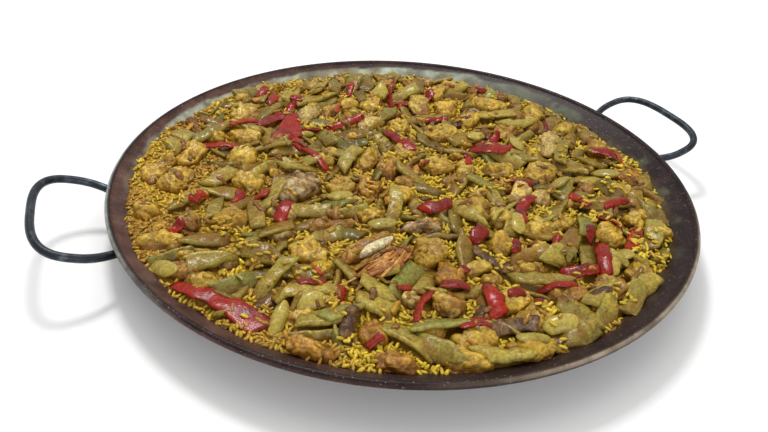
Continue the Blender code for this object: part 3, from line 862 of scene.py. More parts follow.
def painted_wall(points, pan, rim_z):
    """The pan's colours. Inside it is rust brown at the left, with dried stock along the back
    under a dark band, a green patina at the right and brown scorching above the food in front.
    The bead has a painted highlight, cool at the left and warm at the front, and the outside is mottled
    brown."""
    angle = layout_angle(points)
    drop = (rim_z - points[:, 2]) / MM
    far = np.hypot(points[:, 0], points[:, 1])
    inner = smooth(-1.2 * MM, -0.5 * MM, points[:, 2] - wall_height(pan, far))
    inside = inner * smooth(0, 2 * MM, points[:, 2] - pan.sheet / 2) * (drop > 1.2)
    ragged = layered(points / (24 * MM), 3, 11)
    streaks = layered(np.stack([angle / 2.2, 0 * angle, drop / 9], -1), 2, 12)
    colour = np.tile(np.array(pan.steel), (len(points), 1))
    # Outside.
    colour = mixed(colour, linear("5c4638"), 0.6 * smooth(0.0, 0.7, ragged) * (1 - inner))
    # Inside at the left.
    left = near_bearing(angle, 185, 110, 1.5) * inside
    colour = mixed(colour, pan.rust_brown, (0.72 + 0.25 * ragged) * left)
    colour = mixed(colour, linear("75604f"), 0.22 * smooth(-0.1, 0.9, streaks) * left)
    # At the back, under the dark band.
    band = smooth(5.5, 7.5, drop + 1.3 * ragged + 0.8 * streaks)
    back = near_bearing(angle, 122, 82, 1.7) * band * inside
    colour = mixed(colour, pan.residue, np.clip(0.85 + 0.5 * ragged, 0, 1) * back)
    runs = smooth(-0.15, 0.45, streaks - 0.4 * ragged)
    colour = mixed(colour, linear("6f6149"), 0.7 * runs * back)
    # At the right, and low in front.
    right = near_bearing(angle, 30, 75, 1.5)
    right = right * smooth(-0.05, 0.3, ragged + 0.8 * streaks)
    colour = mixed(colour, pan.patina, 0.9 * right * smooth(5, 10, drop + ragged) * inside)
    foot = near_bearing(angle, -20, 90, 1.6) * smooth(8, 15, drop) * inside
    colour = mixed(colour, linear("4a3a24"), 0.7 * foot)
    # On the bead: a painted highlight, a cool reflection at the left and a warm one at the front.
    outer = (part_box("pan")[1].x - far) / MM
    bead = smooth(3.6, 1.2, drop) * smooth(4.6, 2.6, outer) * smooth(-0.3, 0.9, outer + 0.8)
    cool_highlight_arc = near_bearing(angle, 192, 48, 1.3)
    narrow = smooth(3.4, 2.2, outer)
    colour = mixed(colour, pan.worn, 0.85 * smooth(-1.8, -0.2, ragged) * bead * narrow * cool_highlight_arc)
    warm_highlight_arc = near_bearing(angle, -40, 50, 1.4)
    warm_highlight = 0.65 * smooth(-1.8, -0.1, ragged) * bead * narrow * warm_highlight_arc
    return mixed(colour, linear("b5a58c"), warm_highlight)


def mixed(colours, other, share):
    """The colours turned towards another by each point's share."""
    share = np.asarray(share)[:, None]
    return colours * (1 - share) + np.array(other) * share


def turned_rings(line, segments):
    """Rings (rows, segments, 3) of a (radius, height) line turned about the pan's axis."""
    angle = np.linspace(0, 2 * math.pi, segments, endpoint=False)
    radius, height = line[:, :1], line[:, 1:]
    rings = np.broadcast_arrays(radius * np.cos(angle), radius * np.sin(angle), height)
    return np.stack(rings, -1)


def make_pan(pan):
    """One closed skin: the underside, up the outside, over the bead, down the inside, the floor."""
    low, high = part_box("pan")
    outside = wall_line(pan, OUTSIDE_STEPS, pan.sheet)
    outside[0] = (base_radius(), low.z)
    inside = wall_line(pan, INSIDE_STEPS)[::-1]
    angle = np.linspace(BEAD_START, BEAD_END, BEAD_STEPS)
    bead = pan.bead / 2
    centre = np.array([high.x - bead, high.z - bead])
    rolled = centre + bead * np.stack([np.cos(angle), np.sin(angle)], -1)
    reach = np.linspace(0.02, 1, FLAT_STEPS)[:-1, None] * base_radius()
    under = np.concatenate([reach, np.full(reach.shape, low.z)], 1)
    floor = np.concatenate([reach[::-1], np.full(reach.shape, pan.sheet)], 1)
    line = np.concatenate([under, outside, rolled, inside, floor])
    points, faces = capped(turned_rings(line, PAN_SEGMENTS))
    heap = Heap()
    heap.add(points, faces, painted_wall(points, pan, high.z))
    heap.make("pan_shell", steel_material(pan.worn), "pan", "pan")


def rod_rings(path, radius, sides=18):
    """Rings of a round rod along a path of points."""
    rings = []
    angle = np.linspace(0, 2 * math.pi, sides, endpoint=False)[:, None]
    for k in range(len(path)):
        along = path[min(k + 1, len(path) - 1)] - path[max(k - 1, 0)]
        along /= np.linalg.norm(along)
        across = np.cross([0, 0, 1], along)
        across /= np.linalg.norm(across)
        up = np.cross(along, across)
        rings.append(path[k] + radius * (np.cos(angle) * across + np.sin(angle) * up))
    return np.array(rings)


HANDLE_TURNS = {"handle_right": 0.0, "handle_left": math.radians(176.4)}
HANDLE_TILT = math.radians(18.3)  # up from level
HANDLE_ROOT = (277 * MM, 33.5 * MM)  # outwards and up, where the loop leaves the wall
HANDLE_WIDEST = {"handle_right": 47.5 * MM, "handle_left": 50.5 * MM}  # out from the root
HANDLE_END = 37.5 * MM  # further out, to the middle of the loop's end
HANDLE_HALF = 65.5 * MM  # across, where it is widest
HANDLE_SQUARE = 2.9  # 2 would be an oval end
HANDLE_TAPER = 0.42  # lost from the half width at the root
HANDLE_BURIED = 3 * MM  # of the rod, in the wall


def handle_path(widest):
    """The loop's centre line in the frame, for a handle along +X."""
    x = np.linspace(-HANDLE_BURIED, widest, 14)[:-1]
    side = np.stack([x, HANDLE_HALF * (1 - HANDLE_TAPER * (1 - x / widest) ** 2)], -1)
    angle = np.linspace(math.pi / 2, 0, 24)
    c, s = np.cos(angle), np.sin(angle)
    power = HANDLE_SQUARE
    reach = (np.abs(c / HANDLE_END) ** power + np.abs(s / HANDLE_HALF) ** power) ** (-1 / power)
    half = np.concatenate([side, np.stack([widest + reach * c, reach * s], -1)])
    flat = np.concatenate([half, half[-2::-1] * [1, -1]])
    out = HANDLE_ROOT[0] + flat[:, 0] * math.cos(HANDLE_TILT)
    up = HANDLE_ROOT[1] + flat[:, 0] * math.sin(HANDLE_TILT)
    return np.stack([out, flat[:, 1], up], -1)


def make_handle(name, pan, material):
    """A bent rod, very slightly dented, whose ends run into the wall."""
    spin = np.array(Matrix.Rotation(HANDLE_TURNS[name], 3, "Z")).T
    path = handle_path(HANDLE_WIDEST[name])
    dent = 0.12 * MM * noise(path / (14 * MM), 5)[:, None, None]
    rings = rod_rings(path, pan.rod / 2) + dent * np.array([0, 0, 1])
    points, faces = capped(rings)
    heap = Heap()
    heap.add(points @ spin, faces, pan.rod_steel)
    heap.make(name + "_rod", material, "handle", name)


# ---------------------------------------------------------------- chicken

# Further chunks, which lie between and over those of the nodes: (x, y, turn, length, width,
# look) in the food's layout, in millimetres and degrees.
MORE_CHICKEN = [
    (-232, -40, 80, 40, 30, "golden"), (-160, -30, 74, 42, 33, "golden"),
    (-222, -148, 14, 46, 26, "golden"), (-160, -199, 12, 36, 32, "golden"),
    (-34, -24, 80, 38, 27, "orange"), (-4, -32, 70, 38, 32, "golden"),
    (-62, -260, -8, 44, 22, "orange"), (6, -270, 4, 34, 20, "orange"),
    (-200, -112, 60, 28, 24, "brown"), (-186, -20, 70, 34, 24, "pale"),
    (-236, 14, 80, 46, 34, "golden"), (-178, 14, 82, 44, 30, "golden"), (-142, 62, 80, 36, 26, "brown"),
    (-124, 132, 70, 40, 28, "pale"), (-46, 182, 84, 42, 29, "golden"), (-46, 126, 76, 48, 28, "pale"),
    (-16, 28, 84, 62, 24, "brown"), (-100, 226, 80, 34, 24, "golden"), (-32, 232, 70, 32, 22, "orange"),
    (-250, 78, -60, 50, 16, "orange"), (47, 184, 87, 46, 28, "golden"), (38, 224, 84, 34, 24, "golden"),
    (160, 178, 84, 44, 26, "golden"), (150, 32, 82, 46, 34, "golden"), (68, 28, 84, 40, 24, "golden"),
    (96, 126, 75, 36, 18, "brown"), (226, 104, 80, 34, 24, "golden"), (30, -130, 84, 48, 32, "golden"),
    (99, -106, 40, 34, 30, "golden"), (124, -14, 70, 38, 26, "pale"), (207, -76, 20, 36, 32, "golden"),
    (222, -134, 60, 36, 30, "golden"), (190, -157, 40, 36, 30, "brown"),
    (48, -156, 80, 40, 28, "orange"), (66, -240, 50, 38, 34, "golden"),
    (62, -266, -4, 42, 26, "golden"), (46, -196, 70, 32, 26, "brown"), (146, -14, 60, 34, 20, "pale"),
    (-206, -62, 60, 30, 24, "golden"), (194, 146, 60, 34, 26, "golden"),
    (-12, 118, 80, 40, 26, "golden"), (76, 158, 60, 34, 26, "golden"),
    (-150, 206, 60, 34, 24, "golden"), (-106, 192, 70, 40, 22, "orange"),
    (206, 56, 60, 34, 24, "golden"), (-185, 190, 60, 34, 28, "golden"),
    (100, -186, 30, 36, 24, "golden"), (112, -244, 10, 40, 24, "golden"),
    (138, -70, 60, 36, 26, "golden"), (160, -62, 20, 40, 24, "golden"),
    (-242, -92, 70, 34, 26, "golden"),
    (176, -186, 40, 36, 22, "orange"), (130, 165, 30, 44, 26, "brown"), (0, 60, 60, 34, 26, "golden"),
    (-64, -20, 40, 30, 24, "golden"), (235, 10, 70, 34, 24, "golden"), (-86, 34, 70, 34, 26, "golden"),
    (100, -60, 80, 30, 22, "golden"), (-30, -70, 20, 28, 20, "golden"),
]

# The looks of the chunks that are nodes, where they aren't golden.
NODE_LOOKS = {
    "chicken_01": "mottled",
    "chicken_02": "smooth",
    "chicken_04": "brown",
    "chicken_05": "shredded",
    "chicken_08": "smooth",
    "chicken_10": "brown",
    "chicken_12": "brown",
    "chicken_13": "pale",
    "chicken_18": "mottled",
}

TUCKED_LOOKS = ("golden", "golden", "brown", "orange", "pale")
BROAD_CHICKEN = {"chicken_01": (1.25, 4 * MM)}  # how much broader and higher than its solid
STRINGS = 40  # of meat pulled from the torn wing
BURIED_CHICKEN = 1.8  # a chunk's whole height, in that of the solid, which stands on the rice
CHICKEN_OVERLAP = 0.12  # the most of a tucked chunk's footprint that may be taken

# Each look of the chicken: its colour, how browned it is and how rough its crust.
LOOKS = {
    "golden": ("cfa83a", 0.28, 1.15),
    "smooth": ("d4a834", 0.10, 0.4),
    "brown": ("aa7c32", 0.50, 1.5),
    "orange": ("b9862f", 0.36, 1.4),
    "pale": ("cbb066", 0.22, 0.9),
    "mottled": ("b48c48", 0.40, 1.6),
}


def chicken_tint(rng, look, points, crest, looks):
    """Golden where the crust stands out and brown in its creases, a painted shade, by the look of the
    piece.
    """
    code, browned, _ = LOOKS[look]
    seed = int(rng.integers(1 << 16))
    clouds = layered(points / (9 * MM) + seed, 3, seed)
    yellow = layered(points / (17 * MM) + seed, 2, seed + 5)
    colour = np.tile(np.array(linear(code)) * rng.uniform(0.78, 1.15), (len(points), 1))
    if look not in ("mottled", "orange"):
        colour = mixed(colour, linear("e2c450"), 0.6 * smooth(0.0, 0.6, yellow))
    colour = mixed(colour, looks.crust, browned * smooth(0.0, 0.8, clouds))
    # Painted shade: darker brown in the creases of the crust.
    colour = mixed(colour, looks.crust, 0.6 * (1 - crest) ** 1.5)
    if look == "mottled":
        spots = layered(points / (7 * MM) + seed, 3, seed + 3)
        colour = mixed(colour, linear("d2c096"), 0.65 * smooth(0.10, 0.4, spots))
        colour = mixed(colour, linear("38200f"), 0.80 * smooth(0.10, 0.40, -spots))
    return colour


def add_chunk(heap, surface, rng, spot, turn, size, look, looks, top=None, deep=0.42, block=BLOCK):
    """Lays one chunk of chicken, sunk by a share of its height or with its top at a height."""
    length, width, height = size
    points, faces, crest = chunk(rng, length, width, height, rough=LOOKS[look][2], block=block)
    points = tilted(points, rng.normal(0, 0.15), rng.normal(0, 0.22))
    world = surface.lay(points, *spot, turn, deep, on_top=False)
    if top is not None:
        world[:, 2] += top - world[:, 2].max()
    tint = chicken_tint(rng, look, world, crest, looks)
    # Painted shade and sauce darken the chunk towards the rice.
    heap.add(world, faces, sauced_and_shaded(tint, world, surface), wetness(world))
    surface.cover(world, faces)


def add_shredded(heap, strings, surface, rng, place, looks):
    """A torn wing: its golden back, pale flesh laid open along it, a browned edge, and strings
    of meat pulled away in front of it."""

    def beside(along, across):
        dx, dy = plan_turned(along * place.length, across * place.width, place.turn)
        return place.x + dx, place.y + dy

    # Length in the node's, width, height, roughness, place in the node's sides, look and rise.
    parts = (
        (0.96, 17, 17, 0.9, (0.0, 0.30), "brown", 0.5),
        (0.84, 11, 12, 0.6, (-0.03, -0.52), "orange", -2.5),
        (0.62, 12, 12, 0.35, (0.10, -0.14), None, 3.0),
    )
    for length, width, height, rough, spot, look, rise in parts:
        points, faces, crest = chunk(rng, length * place.length, width * MM, height * MM, 4, rough)
        turn = place.turn + rng.normal(0, 0.03)
        world = surface.lay(points, *beside(*spot), turn, 0.4, on_top=False)
        world[:, 2] += place.high + rise * MM - world[:, 2].max()
        if look:
            tint = chicken_tint(rng, look, world, crest, looks)
        else:
            tint = np.tile(np.array(looks.flesh), (len(points), 1))
            # Painted shade: the pale flesh darker in its creases.
            tint = mixed(tint, linear("c9a75a"), 0.35 * (1 - crest))
        heap.add(world, faces, tint, 0.5)
        surface.cover(world, faces)
    for k in range(STRINGS):
        share = k / (STRINGS - 1)
        points, faces = fibre(rng, place.length * rng.uniform(0.45, 1.15), rng.uniform(1.7, 3.3) * MM,
                              -rng.uniform(4, 14) * MM, rng.uniform(0, 5) * MM)
        spot = beside(rng.uniform(-0.38, 0.10), -0.70 - 0.9 * share)
        world = surface.lay(points, *spot, place.turn + rng.normal(0.12, 0.16), 0.2, give=0.6)
        code = ("bc7c34", "9a5a24", "cc9c54", "ac6c2c")[k % 4]
        strings.add(world, faces, np.array(linear(code)) * rng.uniform(0.75, 1.2), 0.5)
        surface.cover(world, faces)


def make_chicken(surface, rng, looks):
    """The chunks that are nodes, the further ones, and small ones tucked into the gaps."""
    material = crust_material(looks.sauce, looks.crust)
    for name in topping_nodes("chicken"):
        place = Place(name)
        look = NODE_LOOKS.get(name, "golden")
        heap = Heap()
        if look == "shredded":
            strings = Heap()
            add_shredded(heap, strings, surface, rng, place, looks)
            strings.make("chicken_strings", material, "chicken")
        else:
            broad, lift = BROAD_CHICKEN.get(name, (1, 0))
            height = (place.high - place.low) * BURIED_CHICKEN
            size = (place.length, place.width * broad, height * broad)
            top = place.high + lift
            add_chunk(heap, surface, rng, (place.x, place.y), place.turn, size, look, looks, top)
        heap.make(name + "_piece", material, "chicken", name)
    heap = Heap()
    for x, y, turn, length, width, look in MORE_CHICKEN:
        size = (length * MM, width * MM, rng.uniform(0.62, 0.82) * width * MM)
        add_chunk(heap, surface, rng, *in_frame(x, y, turn), size, look, looks, deep=0.30)
    heap.make("chicken_laid", material, "chicken")
    heap = Heap()
    for _ in range(looks.tucked):
        x, y, turn = any_spot(rng, surface)
        length, width = rng.uniform(20, 38) * MM, rng.uniform(17, 27) * MM
        if surface.covered(x, y, turn, length, width) > CHICKEN_OVERLAP:
            continue
        if rng.uniform() < surface.kept_clear(x, y):
            continue
        look = TUCKED_LOOKS[rng.integers(len(TUCKED_LOOKS))]
        size = (length, width, rng.uniform(0.62, 0.85) * width)
        add_chunk(heap, surface, rng, (x, y), turn, size, look, looks, deep=0.36, block=MIDDLE_BLOCK)
    heap.make("chicken_tucked", material, "chicken")


# ---------------------------------------------------------------- beans

# Further pods: (x, y, turn, length, width) in the food's layout, in millimetres and degrees.
# The narrow ones stand on their edge.
MORE_BEANS = [
    (-118, -158, -14, 46, 20), (-80, -174, -4, 52, 19), (-52, -226, 18, 50, 18),
    (-58, -246, 14, 46, 12), (-12, -190, -30, 40, 20), (-158, -162, 16, 62, 12),
    (-160, -172, 28, 44, 17), (-116, -108, 34, 36, 22), (-142, -82, 108, 54, 19),
    (-186, -54, -14, 50, 20), (-92, -72, 8, 44, 18), (-8, -56, 86, 44, 16), (42, -256, -25, 48, 20),
    (10, -172, 66, 46, 20), (-2, -150, 84, 46, 15), (62, -120, 98, 52, 19), (46, -224, 12, 56, 24),
    (150, -86, 10, 44, 20), (104, -52, 60, 54, 12), (176, -116, 82, 48, 19), (-40, -222, 30, 40, 18),
    (-104, -188, 62, 52, 16), (-182, -82, 96, 40, 17), (-212, -74, 52, 44, 16), (-78, 42, -24, 52, 19),
    (-128, 44, 20, 44, 17), (-96, 82, -58, 44, 17), (-58, 92, 10, 54, 18), (20, 150, 24, 56, 17),
    (72, 100, 34, 48, 19), (134, 66, -24, 54, 19), (186, 54, -40, 48, 19), (206, 22, -30, 48, 18),
    (226, 0, -50, 44, 17), (138, 144, 20, 52, 17), (78, 216, 86, 50, 14), (196, 116, 60, 46, 18),
    (-10, 206, 30, 46, 17), (-122, 172, 40, 50, 18), (-176, 98, 50, 46, 16), (-226, 58, 60, 46, 17),
    (-152, 40, 12, 50, 18), (62, 2, 60, 46, 16), (12, 6, -36, 50, 17), (88, 2, -18, 46, 16),
    (58, 72, -12, 48, 17), (246, -74, 74, 42, 19), (158, -40, 66, 46, 17), (126, -118, 20, 46, 17),
    (176, -172, 56, 48, 17), (92, -266, 12, 42, 18), (158, -216, -52, 46, 17), (112, -66, 74, 44, 15),
    (-90, -196, 70, 44, 17), (-70, -198, 20, 44, 19),
    (-198, -164, 34, 46, 13),
    (-36, -264, -60, 40, 13), (222, -160, 40, 40, 20), (206, -170, 62, 44, 19), (184, -192, 76, 46, 20),
    (150, -232, 10, 40, 22), (130, -250, 4, 40, 20), (70, -60, -50, 50, 16), (112, 66, -34, 52, 17),
    (132, 90, 84, 40, 24), (40, -62, -58, 48, 14), (34, -98, 12, 52, 14), (-68, -110, 20, 30, 15),
    (150, -120, 50, 36, 20), (164, -100, 70, 50, 18), (246, -10, 80, 44, 18), (216, 60, 20, 40, 18),
    (182, 80, 76, 50, 17), (-60, 236, 84, 40, 24), (-78, 226, 80, 36, 22), (-96, 212, 84, 40, 16),
    (12, 240, 84, 50, 20), (82, 232, 80, 44, 18), (108, 228, 84, 34, 18), (-24, 150, 60, 44, 18),
    (-40, 206, 80, 40, 20), (104, 168, 4, 60, 24), (176, 150, 60, 40, 18), (-120, 206, 84, 46, 22),
    (-150, 176, 84, 40, 18), (-206, 176, 40, 40, 20), (-240, 126, 76, 44, 15), (-252, 40, 80, 50, 24),
    (-112, 6, 20, 40, 17), (-140, 12, 80, 40, 15), (-150, -8, 60, 40, 14), (-60, 30, 70, 44, 16),
    (-52, -70, 4, 44, 14), (-190, -30, 60, 40, 16), (-130, -60, 70, 40, 15), (210, -24, 20, 50, 20),
    (226, -110, 78, 40, 17),
]

# The pods that kept their green.
GREEN_BEANS = {"bean_02", "bean_06", "bean_10", "bean_11"}
ON_EDGE_WIDTH = 14.5  # millimetres, below which a further pod stands on its edge
BEAN_OVERLAP = 0.36  # the most of a tucked pod's footprint that may be taken
RIM_OVERLAP = 0.5  # and of one beside the wall


def bean_tint(rng, points, edge, looks, green=False):
    """Olive, some greener and some browner, mottled along the pod, with a painted highlight along its
    seams.
    """
    pick = rng.uniform()
    base = looks.bean
    if green or pick > 0.84:
        base = looks.bean_green
    elif pick < 0.14:
        base = looks.bean_brown
    seed = int(rng.integers(1 << 16))
    clouds = layered(points / (11 * MM) + seed, 3, seed)
    streaks = layered(points / (5 * MM) + seed, 2, seed + 4)
    colour = np.tile(np.array(base) * rng.uniform(0.66, 1.40), (len(points), 1))
    colour = mixed(colour, looks.bean_brown, 0.55 * smooth(0.0, 0.7, clouds))
    colour = mixed(colour, looks.bean_green, 0.4 * smooth(0.0, 0.7, -clouds))
    colour = mixed(colour, looks.sauce, 0.45 * smooth(0.1, 0.8, streaks))
    # Painted highlight: paler along the seams.
    return mixed(colour, linear("b8a850"), 0.5 * edge)


def add_pod(heap, surface, rng, spot, turn, length, width, looks, roll, deep=0.30, on_top=True,
            give=0.25, top=None, green=False, rows=22, columns=14):
    """Lays one length of pod, flat or leaning on its edge."""
    points, faces, edge = pod(
        rng, length, width, rng.uniform(4.2, 6.2) * MM, bend=rng.normal(0, 0.035) * length,
        arch=rng.uniform(-0.01, 0.05) * length, twist=rng.normal(0, 0.25),
        tip=float(rng.uniform() < 0.22), rows=rows, columns=columns,
    )
    points = tilted(points, rng.normal(0, 0.12), roll)
    world = surface.lay(points, *spot, turn, deep, give, on_top)
    if top is not None:
        world[:, 2] += top - world[:, 2].max()
    # Painted shade and sauce darken the pod towards the rice.
    tint = sauced_and_shaded(bean_tint(rng, world, edge, looks, green), world, surface)
    heap.add(world, faces, tint, wetness(world))
    surface.cover(world, faces)


def make_beans(surface, rng, looks):
    """The pods that are nodes, the further ones, and small ones in the gaps and by the wall."""
    material = pod_material(looks.sauce)
    for name in topping_nodes("bean"):
        place = Place(name)
        heap = Heap()
        add_pod(heap, surface, rng, (place.x, place.y), place.turn, place.length, place.width, looks,
                rng.normal(0, 0.2), top=place.high, green=name in GREEN_BEANS)
        heap.make(name + "_piece", material, "bean", name)
    heap = Heap()
    for x, y, turn, length, width in MORE_BEANS:
        on_edge = width < ON_EDGE_WIDTH
        roll = rng.choice((-1, 1)) * rng.uniform(0.8, 1.25) if on_edge else rng.normal(0, 0.28)
        add_pod(heap, surface, rng, *in_frame(x, y, turn), length * MM, max(width - 1, 15) * MM,
                looks, roll, 0.5 if on_edge else 0.2)
    heap.make("beans_laid", material, "bean")
    heap = Heap()
    for _ in range(4 * looks.tucked):
        x, y, turn = any_spot(rng, surface)
        length, width = rng.uniform(28, 56) * MM, rng.uniform(12.5, 18) * MM
        if surface.covered(x, y, turn, length, 0.8 * width) > BEAN_OVERLAP:
            continue
        if rng.uniform() < surface.kept_clear(x, y):
            continue
        steep = rng.uniform() < 0.45
        roll = rng.choice((-1, 1)) * rng.uniform(0.6, 1.3) if steep else rng.normal(0, 0.3)
        add_pod(heap, surface, rng, (x, y), turn, length, width, looks, roll, 0.5 if steep else 0.25,
                False, 0.2, rows=15, columns=12)
    for _ in range(looks.rim_pods):
        bearing = math.radians(rng.uniform(-75, 150)) + LAYOUT_TURN
        reach = surface.radius - rng.uniform(4, 24) * MM
        x, y = reach * math.cos(bearing), reach * math.sin(bearing)
        turn = bearing + math.pi / 2 + rng.normal(0, 0.5)
        length, width = rng.uniform(26, 46) * MM, rng.uniform(13, 18) * MM
        if surface.covered(x, y, turn, length, 0.8 * width) > RIM_OVERLAP:
            continue
        add_pod(heap, surface, rng, (x, y), turn, length, width, looks, rng.normal(0, 0.35), 0.25,
                False, 0.2, rows=15, columns=12)
    heap.make("beans_tucked", material, "bean")


# ---------------------------------------------------------------- peppers, limas, aubergine

# Further strips: (x, y, turn, length, width at the start, width at the end) in the layout.
MORE_PEPPERS = [
    (-114, -80, 80, 34, 14, 15), (-140, -55, 74, 20, 15, 15), (-164, -64, 82, 22, 8, 11),
    (-200, -74, 70, 18, 11, 13), (-206, -128, 60, 18, 9, 10), (-31, -22, 86, 26, 4, 6),
    (-44, -196, 86, 26, 7, 9), (-70, -192, 15, 24, 10, 12), (-146, 156, 78, 34, 10, 13),
    (-198, 86, 30, 50, 7, 10), (18, 28, 10, 20, 9, 12), (36, 148, 8, 30, 7, 9),
    (92, 232, 10, 22, 9, 11), (70, 48, 84, 26, 9, 11), (184, -22, -58, 30, 11, 12),
    (205, -54, -54, 40, 11, 14), (103, -182, 20, 16, 9, 11), (52, -174, 10, 26, 15, 17),
    (140, -168, 10, 32, 9, 12), (185, -83, 70, 18, 8, 10), (66, -226, 14, 26, 16, 16),
    (-78, 212, 86, 26, 6, 9), (104, 104, 60, 24, 14, 10), (-112, 96, 4, 24, 10, 12),
    (-186, 174, 70, 20, 10, 12), (26, 212, 84, 24, 10, 12), (220, -26, 30, 30, 9, 11),
    (150, -98, 70, 18, 7, 9), (8, -184, 20, 14, 7, 8), (110, -112, 80, 20, 8, 10),
    (-8, 178, 20, 16, 10, 12), (-128, 60, -30, 26, 11, 12), (122, -190, 70, 20, 7, 9),
    (60, -150, 60, 14, 8, 9), (-12, -252, 40, 14, 6, 8),
]


def pepper_tint(rng, points, looks):
    """Deep red, browner in clouds where sauce has dried on it and darker in others."""
    seed = int(rng.integers(1 << 20))
    clouds = layered(points / (10 * MM) + seed, 3, seed)
    colour = np.tile(np.array(looks.pepper) * rng.uniform(0.8, 1.25), (len(points), 1))
    colour = mixed(colour, linear("93301a"), 0.45 * smooth(0.1, 0.9, clouds))
    return mixed(colour, linear("50100a"), 0.65 * smooth(0.05, 0.6, -clouds))


def add_pepper(heap, surface, rng, spot, turn, length, start, end, looks, top=None, spring=1.0):
    """Lays one strip. The less spring it has, the flatter it lies."""
    points, faces = strip(
        rng, length, start, end, rng.uniform(2.6, 3.4) * MM, cup=spring * rng.uniform(0.0, 0.25),
        bend=rng.normal(0, 0.05) * length, arch=spring * rng.uniform(0.02, 0.07) * length,
        curl=spring * rng.uniform(-0.03, 0.03) * length,
    )
    points = tilted(points, spring * rng.normal(0, 0.06), spring * rng.normal(0, 0.2))
    world = surface.lay(points, *spot, turn, 0.15, 0.7)
    if top is not None:
        world[:, 2] += max(top - world[:, 2].max(), 0)
    heap.add(world, faces, pepper_tint(rng, world, looks), 0.8)
    surface.cover(world, faces)


# How much broader strips are drawn than their solids, which their torn edges cut into, and
# how much broader the widest ones are at their wider end.
BROADER = 1.18
BROAD_PEPPERS = {"pepper_01": 1.35, "pepper_02": 1.8, "pepper_03": 1.6}


def drawn_ends(name, place):
    """The widths of a strip's two ends as drawn."""
    widest = max(place.start, place.end)
    broad = BROAD_PEPPERS.get(name, BROADER)
    return [end * (broad if end == widest else BROADER) for end in (place.start, place.end)]


def make_peppers(surface, rng, looks):
    """The strips that are nodes, and the further ones."""
    material = pepper_material(looks.sauce)
    for name in topping_nodes("pepper"):
        place = Place(name)
        heap = Heap()
        spring = 0.2 if name in BROAD_PEPPERS else 1.0
        add_pepper(heap, surface, rng, (place.x, place.y), place.turn, place.length * 1.04,
                   *drawn_ends(name, place), looks, place.high, spring)
        heap.make(name + "_strip", material, "pepper", name)
    heap = Heap()
    for x, y, turn, length, start, end in MORE_PEPPERS:
        add_pepper(heap, surface, rng, *in_frame(x, y, turn), length * MM, start * MM, end * MM, looks)
    heap.make("peppers_laid", material, "pepper")


# Further lima beans: (x, y, turn, length, width) in the layout.
MORE_LIMAS = [
    (-104, 24, 20, 30, 24), (118, -70, 84, 30, 19), (-62, -44, 30, 28, 24), (168, 8, 60, 30, 20),
    (196, -128, 70, 30, 22), (212, -110, 80, 30, 19), (136, -216, 10, 30, 17), (112, -236, 15, 30, 17),
    (84, 108, 60, 30, 20), (-118, 88, 40, 24, 17), (132, 96, 84, 38, 22), (-90, -232, 80, 34, 14),
    (-204, -186, -38, 40, 17), (-68, -214, 20, 26, 17), (-170, 80, 40, 26, 17),
]


def add_lima(heap, surface, rng, spot, turn, size, looks, top=None):
    """Lays one lima bean, yellow green in clouds."""
    points, faces = lima(rng, *size)
    points = tilted(points, rng.normal(0, 0.12), rng.normal(0, 0.2))
    world = surface.lay(points, *spot, turn, 0.3)
    if top is not None:
        world[:, 2] += top - world[:, 2].max()
    seed = int(rng.integers(1 << 20))
    clouds = layered(world / (12 * MM) + seed, 2, seed)
    tint = np.tile(np.array(looks.lima) * rng.uniform(0.7, 1.1), (len(points), 1))
    tint = mixed(tint, looks.bean, 0.5 * smooth(-0.1, 0.9, clouds))
    heap.add(world, faces, tint, 0.6)
    surface.cover(world, faces)


def make_limas(surface, rng, looks):
    """The lima beans that are nodes, and the further ones."""
    material = lima_material(looks.sauce)
    for name in topping_nodes("lima"):
        place = Place(name)
        heap = Heap()
        size = (place.length, place.width, place.high - place.low)
        add_lima(heap, surface, rng, (place.x, place.y), place.turn, size, looks, place.high + 0.5 * MM)
        heap.make(name + "_seed", material, "lima", name)
    heap = Heap()
    for x, y, turn, length, width in MORE_LIMAS:
        size = (length * MM, width * MM, rng.uniform(8, 10) * MM)
        add_lima(heap, surface, rng, *in_frame(x, y, turn), size, looks)
    heap.make("limas_laid", material, "lima")


# Further charred pieces: (x, y, turn, length, width) in the layout.
MORE_CHAR = [
    (97, -220, 4, 42, 20), (72, -204, 60, 18, 10), (68, 146, 40, 24, 12), (140, 14, 20, 16, 8),
    (176, -176, 30, 20, 9),
]


def add_char(heap, surface, rng, spot, turn, length, width, looks):
    """Lays one crumpled piece of charred skin, browner in patches."""
    points, faces = strip(rng, length, width, width * 0.8, 2.4 * MM, cup=0.2, arch=0.04 * length,
                          bend=0.05 * length, curl=0.04 * length)
    points[:, 2] += 1.8 * MM * noise(points / (4.5 * MM), int(rng.integers(1 << 20)))
    world = surface.lay(points, *spot, turn, 0.2, 0.6)
    tint = np.tile(np.array(looks.char), (len(points), 1))
    browner = 0.8 * smooth(0.0, 0.6, layered(world / (5 * MM), 2, 9))
    tint = mixed(tint, linear("8a6434"), browner)
    heap.add(world, faces, tint, 0.6)
    surface.cover(world, faces)


def make_aubergine(surface, rng, looks):
    """The charred pieces that are nodes, and the further ones."""
    material = char_material(looks.sauce)
    for name in topping_nodes("aubergine"):
        place = Place(name)
        heap = Heap()
        add_char(heap, surface, rng, (place.x, place.y), place.turn, place.length, place.width, looks)
        heap.make(name + "_strip", material, "aubergine", name)
    heap = Heap()
    for x, y, turn, length, width in MORE_CHAR:
        add_char(heap, surface, rng, *in_frame(x, y, turn), length * MM, width * MM, looks)
    heap.make("aubergine_laid", material, "aubergine")


# ---------------------------------------------------------------- rice

